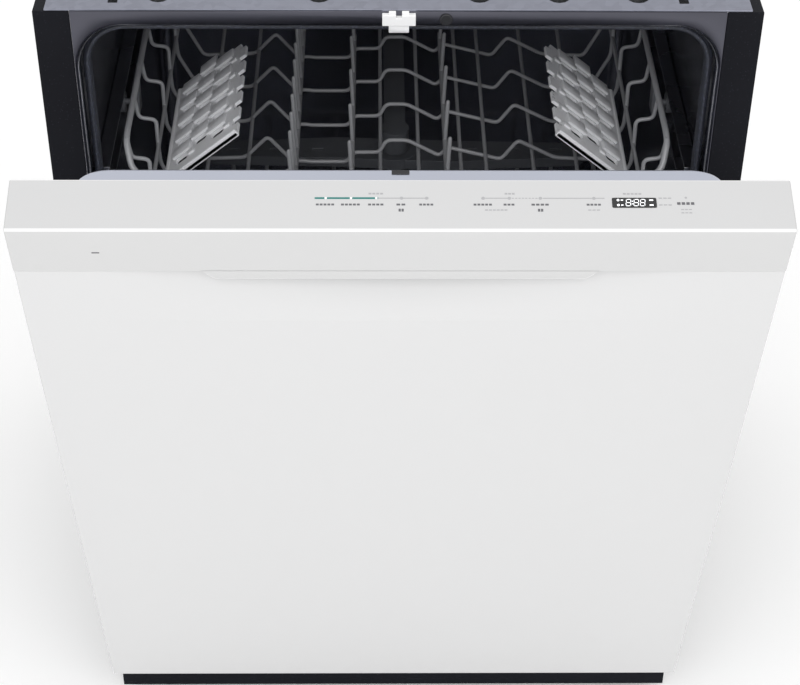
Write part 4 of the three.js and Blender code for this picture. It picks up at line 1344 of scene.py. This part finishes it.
@dataclass
class Gasket:
    """Rubber door seal with two lips, run round the tub's mouth, in cabinet millimetres."""

    x: float = 267.0
    top: float = 827.5
    low: float = 206.0
    corner: float = 36.0
    y: float = 16.5
    bead: float = 3.6

    def loop(self, inset: float, y: float) -> list[Point]:
        """Gives the arch that a lip follows.

        Args:
            inset: How far inside the bead it runs.
            y: Its depth behind the flange.

        Returns:
            The arch's points.
        """
        x, top, r = self.x - inset, self.top - inset, self.corner - inset
        left = arc((-x + r, top - r), r, 180, -90, 8)
        right = arc((x - r, top - r), r, 90, -90, 8)
        flat = [(-x, self.low), *left, *right, (x, self.low)]
        return [(u, y, v) for u, v in flat]

    def make(self) -> None:
        """Builds the seal's bead and lips."""
        runs = [Run(self.loop(0.0, self.y), self.bead, 0.1), Run(self.loop(1.2, self.y - 5.0), 2.2, 0.1),
                Run(self.loop(1.2, self.y + 5.0), 2.2, 0.1)]
        bend_wires(runs, "door_seal", "body", RUBBER, ["tub_gasket"])


@dataclass
class Blanket:
    """Felt sound blanket that wraps the tub's sides and top, in cabinet millimetres."""

    half: float = 277.2
    top: float = 838.0
    low: float = 167.0
    corner: float = 46.0
    front: float = 31.0
    rear: float = 571.0
    thick: float = 3.4
    rows: int = 45

    def make(self) -> bpy.types.Object:
        """Bends the blanket round the tub and gives it an uneven face.

        Returns:
            The blanket.
        """
        bm = bmesh.new()
        h, r, top = self.half, self.corner, self.top
        side = [self.low + (top - r - self.low) * i / 30 for i in range(30)]
        span = [-h + r + (2 * h - 2 * r) * i / 28 for i in range(1, 28)]
        path = [(-h, z) for z in side] + arc((-h + r, top - r), r, 180, -90, 8)
        path += [(x, top) for x in span] + arc((h - r, top - r), r, 90, -90, 8)
        path += [(h, z) for z in reversed(side)]
        verts = [bm.verts.new((x, self.front, z)) for x, z in path]
        edges = [bm.edges.new(pair) for pair in zip(verts, verts[1:])]
        step = (self.rear - self.front) / self.rows
        for _ in range(self.rows):
            grown = bmesh.ops.extrude_edge_only(bm, edges=edges)["geom"]
            edges = [item for item in grown if isinstance(item, bmesh.types.BMEdge)
                     and all(v.co.y == item.verts[0].co.y for v in item.verts)]
            bmesh.ops.translate(bm, vec=(0.0, step, 0.0), verts=once(v for e in edges for v in e.verts))
        bmesh.ops.recalc_face_normals(bm, faces=bm.faces)
        if sum(f.normal.z * f.calc_area() for f in bm.faces) < 0:
            bmesh.ops.reverse_faces(bm, faces=bm.faces)
        bm.normal_update()
        for vert in bm.verts:
            swell = noise.noise(vert.co * 0.018) + 0.5 * noise.noise(vert.co * 0.05)
            vert.co += vert.normal * (1.0 + 1.1 * swell)
        piece = settle(bm, "sound_blanket", CABINET, "body", [FELT], ["insulation_blanket"], 60.0,
                       recalculate=False)
        thicken(piece, self.thick, 0.0)
        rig.padded(piece, fill=0.8)
        return piece


@dataclass
class Cabinet:
    """Fixed shell: tub, seal, blanket, trims, brace and what is bolted to the base."""

    def make(self) -> None:
        """Builds the cabinet's pieces."""
        Tub().make()
        Gasket().make()
        Blanket().make()
        refits = {
            BLACK_TRIM: (("side_trim_left", 0.8), ("side_trim_right", 0.8)),
            GALVANISED: (("top_brace", 0.4), ("junction_box", 0.8)),
            STRIKE_WHITE: (("latch_strike", 0.8),),
            BLACK_PART: (("flange_bumper", 1.0), ("drain_pump", 1.0)),
            BLACK_PAINT: (("base_frame", 0.6), ("toe_kick", 0.8), ("access_panel", 0.6)),
            GREY_PLASTIC: (("inlet_valve", 0.6), ("sump", 1.0), ("circulation_pump", 1.0),
                           ("feed_tube", 0.4), ("filter_cup", 0.5), ("float", 0.6)),
            ELEMENT_STEEL: (("heating_element", 0.0), ("filter_plate", 0.4)),
            RAIL_STEEL: (("upper_rail_left", 0.4), ("upper_rail_right", 0.4)),
        }
        for finish, nodes in refits.items():
            for node, edge in nodes:
                Refit(node, finish, edge).make()
        for node in sorted(n for n in frame["nodes"] if n.startswith("leg_")):
            Refit(node, GALVANISED, 0.4).make()


# ------------------------------------------------------------------ racks


@dataclass
class Wheel:
    """Small rack wheel with a rim, a web and a hub, spun on its axle."""

    node: str

    def make(self) -> bpy.types.Object:
        """Spins the wheel in the space of its node.

        Returns:
            The wheel.
        """
        low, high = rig.box(self.node)
        centre = (low + high) / 2 / MM
        radius = (high.z - low.z) / 2 / MM
        wide = (high.x - low.x) / MM
        bore, h = 3.6, wide / 2
        rim, hub = radius * 0.78, min(radius * 0.5, bore + 2.2)
        profile = [(bore, -h), (hub, -h), (hub + 0.4, -h * 0.4), (rim - 0.4, -h * 0.4), (rim, -h),
                   (radius - 0.8, -h), (radius, -h + 0.8), (radius, h - 0.8), (radius - 0.8, h),
                   (rim, h), (rim - 0.4, h * 0.4), (hub + 0.4, h * 0.4), (hub, h), (bore, h)]
        bm = bmesh.new()
        spun(bm, profile, tuple(centre), (1.0, 0.0, 0.0), (0.0, 0.0, 1.0), 36, closed=True)
        return settle(bm, self.node + "_fine", Matrix.Scale(MM, 4), BODY_OF[self.node], [GREY_PLASTIC],
                      [self.node])


@dataclass(frozen=True)
class WheelMounts:
    """The four tabs with axles that carry a rack's wheels, in cabinet millimetres.

    The tab spans across and up, and the axle's middle is given across and up.
    """

    rack: str
    across: Flat
    up: Flat
    axle: Flat
    axle_long: float
    stations: Flat
    edge: float
    half_tab: float = 9.0
    axle_radius: float = 3.0

    def make(self) -> bpy.types.Object:
        """Builds the mounts of one rack.

        Returns:
            The mounts.
        """
        bm = bmesh.new()
        for side in (-1, 1):
            for y in self.stations:
                inner, outer = sorted(side * x for x in self.across)
                block(bm, (inner, y - self.half_tab, self.up[0]), (outer, y + self.half_tab, self.up[1]),
                      self.edge)
                rod(bm, (side * self.axle[0], y, self.axle[1]), "Y", self.axle_radius, self.axle_long)
        return settle(bm, self.rack + "_wheel_mounts", CABINET, self.rack + "_rack", [GREY_PLASTIC])


@dataclass
class CupShelf:
    """Fold-up cup shelf of frosted plastic: slots in rows, raised pads and a stepped free edge."""

    side: int
    front: float = 45.0
    rear: float = 215.0
    wide: float = 92.0
    thick: float = 3.0
    hinge_x: float = 216.0
    hinge_z: float = 645.0
    tilt: float = 39.0
    teeth: int = 6
    pitch: float = 30.0
    rows: tuple[float, ...] = (22.0, 44.0, 66.0)

    def place(self) -> Matrix:
        """Place of the shelf: drawn flat for the left, mirrored for the right."""
        mirror = Matrix.Diagonal((-self.side, 1.0, 1.0, 1.0))
        turn = Matrix.Rotation(math.radians(self.side * self.tilt), 4, "Y")
        return CABINET @ Matrix.Translation((self.side * self.hinge_x, 0.0, self.hinge_z)) @ turn @ mirror

    def stepped_edge(self) -> list[Flat]:
        """Gives the outline with its stepped free edge."""
        tooth = (self.rear - self.front) / self.teeth
        points: list[Flat] = [(4.0, self.front)]
        for i in range(self.teeth):
            y = self.front + i * tooth
            points += [(self.wide, y), (self.wide, y + tooth * 0.62),
                       (self.wide - 7.0, y + tooth * 0.62), (self.wide - 7.0, y + tooth)]
        return points + [(4.0, self.rear)]

    def slots(self) -> list[tuple[float, float, float, float]]:
        """Gives the slots as spans across and along."""
        spans = []
        for row, u in enumerate(self.rows):
            for i in range(5):
                y = self.front + 16 + i * self.pitch + (row % 2) * 12
                spans.append((u - 7.5, u + 7.5, y + 4.0, y + 15.0))
        return spans

    def make(self) -> bpy.types.Object:
        """Builds the slotted plate, its pads and its hinge rod.

        Returns:
            The shelf.
        """
        name = "cup_shelf_left" if self.side < 0 else "cup_shelf_right"
        bm = bmesh.new()
        rim = [(u, v, -self.thick) for u, v in self.stepped_edge()]
        holes = [[(u, v, -self.thick) for u, v in rounded_rectangle((a, b), (c, d), 2.5, 3)]
                 for a, b, c, d in self.slots()]
        plate_with_holes(bm, rim, holes)
        flat = list(bm.faces)
        grown = bmesh.ops.extrude_face_region(bm, geom=flat, use_keep_orig=True)["geom"]
        bmesh.ops.translate(bm, vec=(0, 0, self.thick), verts=only_verts(grown))
        for a, b, c, d in self.slots():
            gap = self.pitch - (d - c)
            block(bm, (a - 3.0, d + 1.0, -0.5), (b + 3.0, d + gap - 1.0, 2.6), 0.9)
            block(bm, (b + 1.2, c + 2.0, -0.5), (b + 8.6, d - 2.0, 1.9), 0.8)
        block(bm, (5.0, self.front, -self.thick - 1.5), (self.wide - 0.5, self.front + 3.4, 3.2), 1.0)
        rod(bm, (4.2, (self.front + self.rear) / 2, -self.thick / 2), "X", 2.8, self.rear - self.front)
        return settle(bm, name + "_fine", self.place(), BODY_OF[name], [FROSTED], [name])


@dataclass
class UpperRack:
    """Upper wire rack: stepped hoops, a humped floor, tine rows and its fittings."""

    half: float = 246.0
    mid: float = 226.0
    floor_half: float = 206.0
    front: float = 32.0
    rear: float = 505.0
    rim: float = 690.0
    belt: float = 640.0
    floor: float = 575.0
    wire: float = 2.0
    ribs: tuple[float, ...] = (58.0, 128.0, 198.0, 268.0, 338.0, 409.0, 479.0)
    runners: tuple[float, ...] = (-186.0, -146.0, -15.0, 23.0, 65.0, 90.0, 137.0, 180.0)
    front_dip: float = 34.0
    wheel_y: Flat = (165.0, 455.0)
    wheel_z: float = 664.0

    def ring(self, half: float, inset: float, z: float, radius: float, corner: float = 24.0) -> Run:
        """Makes a level ring of wire round the rack.

        Args:
            half: Half its width.
            inset: How far inside the rack's front and rear it runs.
            z: Its height.
            radius: The wire's radius.
            corner: Its corner radius.

        Returns:
            The ring.
        """
        flat = rounded_rectangle((-half, half), (self.front + inset, self.rear - inset), corner, 8)
        return Run([(x, y, z) for x, y in flat], radius, 0.1, closed=True)

    def brim(self) -> Run:
        """Makes the thick rim, which dips across the front so that the door's top hides it."""
        h, f, low = self.half, self.front, self.rim - self.front_dip
        side = [(h, f + 34.0, self.rim), (h, f + 22.0, self.rim - 4.0), (h - 5.0, f + 7.0, low + 10.0),
                (h - 30.0, f, low)]
        back = arc((h - 24.0, self.rear - 24.0), 24.0, 0, 90, 6)
        half = [(x, y, self.rim) for x, y in reversed(back)] + side
        other = [(-x, y, z) for x, y, z in reversed(half)]
        return Run(half + other, 2.9, 9.0, closed=True)

    def cross(self, y: float) -> Run:
        """Makes one crosswise wire: down the sides in steps and over the floor's humps."""
        f = self.floor
        left = [(-self.half, self.rim), (-self.half + 3, self.rim - 22), (-self.mid - 1, self.rim - 24),
                (-self.mid - 1, self.belt - 2), (-self.mid, self.belt - 22), (-self.floor_half, f + 4)]
        middle = [(-150.0, f + 6), (-127.0, f + 30), (-103.0, f + 2), (-91.0, f + 2), (-86.0, f + 1),
                  (-48.0, f + 1), (-42.0, f + 12), (-16.0, f + 12), (-9.0, f + 26), (12.0, f + 26),
                  (44.0, f + 8), (52.0, f + 18), (106.0, f + 4), (122.0, f + 26), (160.0, f + 6)]
        right = [(-x, z) for x, z in reversed(left)]
        return Run([(x, y, z) for x, z in left + middle + right], self.wire, 5.0)

    def tine_row(self, x: float, z: float, tall: float, lean: float, stations: Sequence[float]) -> list[Run]:
        """Makes a row of tines on its rod.

        Args:
            x: The row's place across.
            z: Height of its rod.
            tall: Height of the tines over the rod.
            lean: How far the tips lean across.
            stations: Where the tines stand along the row.

        Returns:
            The rod and the tines.
        """
        rod = Run([(x, stations[0] - 14, z), (x, stations[-1] + 14, z)], 2.5)
        tines = [Run([(x, y, z), (x + lean, y, z + tall)], 2.1, tip=True) for y in stations]
        return [rod, *tines]

    def runs(self) -> list[Run]:
        """Gathers all of the rack's wires."""
        runs = [self.brim(), self.ring(self.mid, 3.0, self.belt, self.wire)]
        runs += [self.cross(y) for y in self.ribs]
        near, far, z = self.front, self.rear, self.floor + 10.0
        for x in self.runners:
            runs.append(Run([(x, near + 0.5, self.rim - self.front_dip), (x, near + 5, self.belt),
                             (x, near + 14, z), (x, far - 14, z), (x, far - 5, self.belt),
                             (x, far - 1, self.rim)], self.wire, 10.0))
        stations = [76.0 + 34.5 * i for i in range(12)]
        runs += self.tine_row(-99.0, self.floor + 7, 62.0, -3.0, stations)
        runs += self.tine_row(-43.0, self.floor + 14, 44.0, -2.0, stations[::2])
        runs += self.tine_row(50.0, self.floor + 16, 46.0, 2.0, stations[::2])
        return runs

    def make(self) -> None:
        """Builds the rack, its shelves, arm and wheels."""
        bend_wires(self.runs(), "upper_rack_wires", "upper_rack", WIRE_COAT,
                   ["upper_rack_walls", "upper_rack_floor", "upper_rack_tines"])
        WheelMounts("upper", (self.half - 1, self.half + 3), (self.wheel_z - 9, self.rim + 1),
                    (256.0, self.wheel_z), 22.0, self.wheel_y, 1.4).make()
        for side in (-1, 1):
            CupShelf(side).make()
        Refit("upper_manifold", ARM_GREY, 1.5).make()
        Refit("upper_spray_arm", ARM_GREY, 2.0).make()
        for corner in ("fl", "fr", "rl", "rr"):
            Wheel("upper_wheel_" + corner).make()


@dataclass
class LowerRack:
    """Lower wire rack: sloping rim, flat floor, fixed and folding tines and the cutlery basket."""

    half: float = 238.0
    floor_half: float = 222.0
    front: float = 58.0
    rear: float = 515.0
    rim: float = 390.0
    belt: float = 300.0
    floor: float = 212.0
    slope: float = 60.0
    wire: float = 2.4
    ribs: tuple[float, ...] = (118.0, 155.0, 192.0, 230.0, 267.0, 305.0, 342.0, 379.0, 416.0, 453.0, 491.0)
    runners: tuple[float, ...] = (-190.0, -150.0, -70.0, -10.0, 150.0, 190.0)
    wheel_y: Flat = (118.0, 416.0)
    wheel_z: float = 178.4
    fixed_x: float = -100.0
    tines_x: float = 60.0
    tines_z: float = 226.0

    def dip(self, y: float) -> float:
        """Gives how far the rim has fallen at a depth, towards the front."""
        return self.slope * (self.rear - y) / (self.rear - self.front)

    def runs(self) -> list[Run]:
        """Gathers the rack's own wires."""
        flat = rounded_rectangle((-self.half, self.half), (self.front, self.rear), 24.0, 8)
        runs = [Run([(x, y, self.rim - self.dip(y)) for x, y in flat], 3.0, 0.1, closed=True),
                Run([(x, y, self.belt) for x, y in flat], self.wire, 0.1, closed=True)]
        for y in self.ribs:
            left = [(-self.half, y, self.rim - self.dip(y)), (-self.half, y, self.floor + 22),
                    (-self.floor_half, y, self.floor)]
            right = [(-x, y, z) for x, y, z in reversed(left)]
            runs.append(Run(left + right, self.wire, 12.0))
        for x in self.runners:
            z = self.floor + 4.2
            runs.append(Run([(x, self.front, self.rim - self.slope), (x, self.front + 4, z + 12),
                             (x, self.front + 14, z), (x, self.rear - 14, z), (x, self.rear - 4, z + 12),
                             (x, self.rear, self.rim)], self.wire, 10.0))
        x, z = self.fixed_x, self.floor + 5.4
        runs.append(Run([(x, 140.0, z), (x, 470.0, z)], 2.5))
        for y in (155.0 + 50.0 * i for i in range(7)):
            runs.append(Run([(x, y, z), (x, y, self.floor + 86)], 2.3, tip=True))
        return runs

    def make(self) -> None:
        """Builds the rack, folding tines, basket, arm and wheels."""
        bend_wires(self.runs(), "lower_rack_wires", "lower_rack", WIRE_COAT,
                   ["lower_rack_walls", "lower_rack_floor", "lower_rack_tines"])
        WheelMounts("lower", (213.0, 216.5), (self.wheel_z - 7, self.floor + 1),
                    (221.0, self.wheel_z), 16.0, self.wheel_y, 1.2).make()
        x, z = self.tines_x, self.tines_z
        folding = [Run([(x, 180.0, z), (x, 500.0, z)], 2.6)]
        for y in (190.0 + 300.0 / 7 * i for i in range(8)):
            folding.append(Run([(x, y, z), (x, y, z + 78)], 2.3, tip=True))
        bend_wires(folding, "fold_tines_fine", "tines", WIRE_COAT, ["fold_tines"])
        Basket().make()
        Refit("lower_spray_arm", ARM_GREY, 2.0).make()
        for corner in ("fl", "fr", "rl", "rr"):
            Wheel("lower_wheel_" + corner).make()


@dataclass
class Basket:
    """Cutlery basket: four cells with lattice walls and a carrying handle, in cabinet millimetres."""

    half: float = 118.0
    front: float = 72.0
    rear: float = 142.0
    bottom: float = 222.5
    top: float = 335.0
    wall: float = 2.5
    cells: int = 4

    def lattice(self, bm: bmesh.types.BMesh, start: Point, end: Point, thick: Point) -> None:
        """Adds one wall as rails and bars between two lower corners.

        Args:
            bm: The bench mesh.
            start: The wall's first lower corner.
            end: Its second lower corner.
            thick: Half thickness across and along.
        """
        count = max(4, round((Vector(end) - Vector(start)).length / 11.0))
        low, high = self.bottom, self.top
        for z0, z1 in ((low, low + 12), (low + 52, low + 57), (high - 12, high)):
            block(bm, (start[0] - thick[0], start[1] - thick[1], z0),
                  (end[0] + thick[0], end[1] + thick[1], z1), 0.5)
        for i in range(count + 1):
            t = i / count
            x, y = start[0] + (end[0] - start[0]) * t, start[1] + (end[1] - start[1]) * t
            block(bm, (x - 1.5, y - 1.25, low), (x + 1.5, y + 1.25, high - 0.5))

    def make(self) -> bpy.types.Object:
        """Builds the basket.

        Returns:
            The basket.
        """
        bm = bmesh.new()
        h, w = self.half, self.wall / 2
        for y in (self.front + w, self.rear - w):
            self.lattice(bm, (-h + w, y, 0.0), (h - w, y, 0.0), (w, w, 0.0))
        cell = (2 * h - 5 * self.wall) / self.cells
        for i in range(self.cells + 1):
            x = -h + w + i * (cell + self.wall)
            self.lattice(bm, (x, self.front + w, 0.0), (x, self.rear - w, 0.0), (w, w, 0.0))
        block(bm, (-h, self.front, self.bottom), (h, self.rear, self.bottom + 3.0), 0.8)
        settle(bm, "basket_body", CABINET, "basket", [GREY_PLASTIC], ["silverware_basket"])
        middle = (self.front + self.rear) / 2
        left = [(-62.0, middle, self.top - 8), (-62.0, middle, self.top + 38), (-50.0, middle, self.top + 46)]
        right = [(-x, y, z) for x, y, z in reversed(left)]
        return bend_wires([Run(left + right, 3.6, 12.0)], "basket_handle", "basket", GREY_PLASTIC)


# ------------------------------------------------------------------ studio


@dataclass
class Studio:
    """Camera, soft lights and the pale floor."""

    eye: Point = (-0.0187, -1.6257, 1.6094)
    heading: float = 0.9
    pitch: float = 39.86
    roll: float = 0.54
    lens: float = 86.44
    raise_view: float = 0.102
    world_light: float = 0.92
    floor_half: float = 9.0

    def make_camera(self) -> None:
        """Places the camera by its heading, pitch and roll."""
        yaw, pitch, roll = (math.radians(v) for v in (self.heading, self.pitch, self.roll))
        ahead = Vector((math.sin(yaw) * math.cos(pitch), math.cos(yaw) * math.cos(pitch), -math.sin(pitch)))
        level = ahead.cross(Vector((0.0, 0.0, 1.0))).normalized()
        upward = level.cross(ahead)
        right = level * math.cos(roll) + upward * math.sin(roll)
        above = upward * math.cos(roll) - level * math.sin(roll)
        data = bpy.data.cameras.new("camera")
        data.lens = self.lens
        data.sensor_width = 36.0
        data.shift_y = self.raise_view
        camera = bpy.data.objects.new("camera", data)
        turn = Matrix((right, above, -ahead)).transposed().to_4x4()
        camera.matrix_world = Matrix.Translation(self.eye) @ turn
        bpy.context.collection.objects.link(camera)
        bpy.context.scene.camera = camera

    def add_light(self, name: str, place: Point, aim: Point, size: Flat, power: float) -> None:
        """Adds one soft rectangular light.

        Args:
            name: Its name.
            place: Where it hangs.
            aim: The point it faces.
            size: Its width and height.
            power: Its power in watts.
        """
        data = bpy.data.lights.new(name, "AREA")
        data.shape = "RECTANGLE"
        data.size, data.size_y = size
        data.energy = power
        lamp = bpy.data.objects.new(name, data)
        lamp.location = place
        lamp.rotation_euler = (Vector(aim) - Vector(place)).to_track_quat("-Z", "Y").to_euler()
        bpy.context.collection.objects.link(lamp)

    def make(self) -> None:
        """Sets up the camera, lights, world and floor."""
        self.make_camera()
        world = bpy.data.worlds.new("studio")
        world.use_nodes = True
        world.node_tree.nodes["Background"].inputs["Color"].default_value = (1.0, 1.0, 1.0, 1.0)
        world.node_tree.nodes["Background"].inputs["Strength"].default_value = self.world_light
        bpy.context.scene.world = world
        bpy.context.scene.view_settings.view_transform = "Standard"
        self.add_light("overhead", (0.0, -2.0, 2.0), (0.0, -0.2, 0.7), (2.2, 1.0), 19.0)
        self.add_light("front", (0.0, -3.2, 1.3), (0.0, 0.0, 0.4), (3.0, 2.0), 1.5)
        bm = bmesh.new()
        bmesh.ops.create_grid(bm, x_segments=2, y_segments=2, size=self.floor_half)
        mesh = bpy.data.meshes.new("studio_floor")
        bm.to_mesh(mesh)
        bm.free()
        mesh.materials.append(material_of(FINISH_NAMES[FLOOR_WHITE], FLOOR_WHITE))
        floor = bpy.data.objects.new("studio_floor", mesh)
        bpy.context.collection.objects.link(floor)
        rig.stage(floor)


def write_sizes() -> None:
    """Writes the CAD box and the shown object's box."""
    boxes = {"cad": [list(corner) for corner in CAD_BOX],
             "visual": [list(corner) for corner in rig.bounds()]}
    with open("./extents.json", "w", encoding="utf-8") as out:
        json.dump(boxes, out)


def main() -> None:
    """Builds the studio and every sub-assembly in order."""
    logging.basicConfig(level=logging.INFO, format="%(message)s")
    makers: Sequence[Callable[[], None]] = (Studio().make, Cabinet().make, Door().make,
                                            UpperRack().make, LowerRack().make)
    for make in makers:
        make()
    write_sizes()


if __name__ == "__main__":
    main()
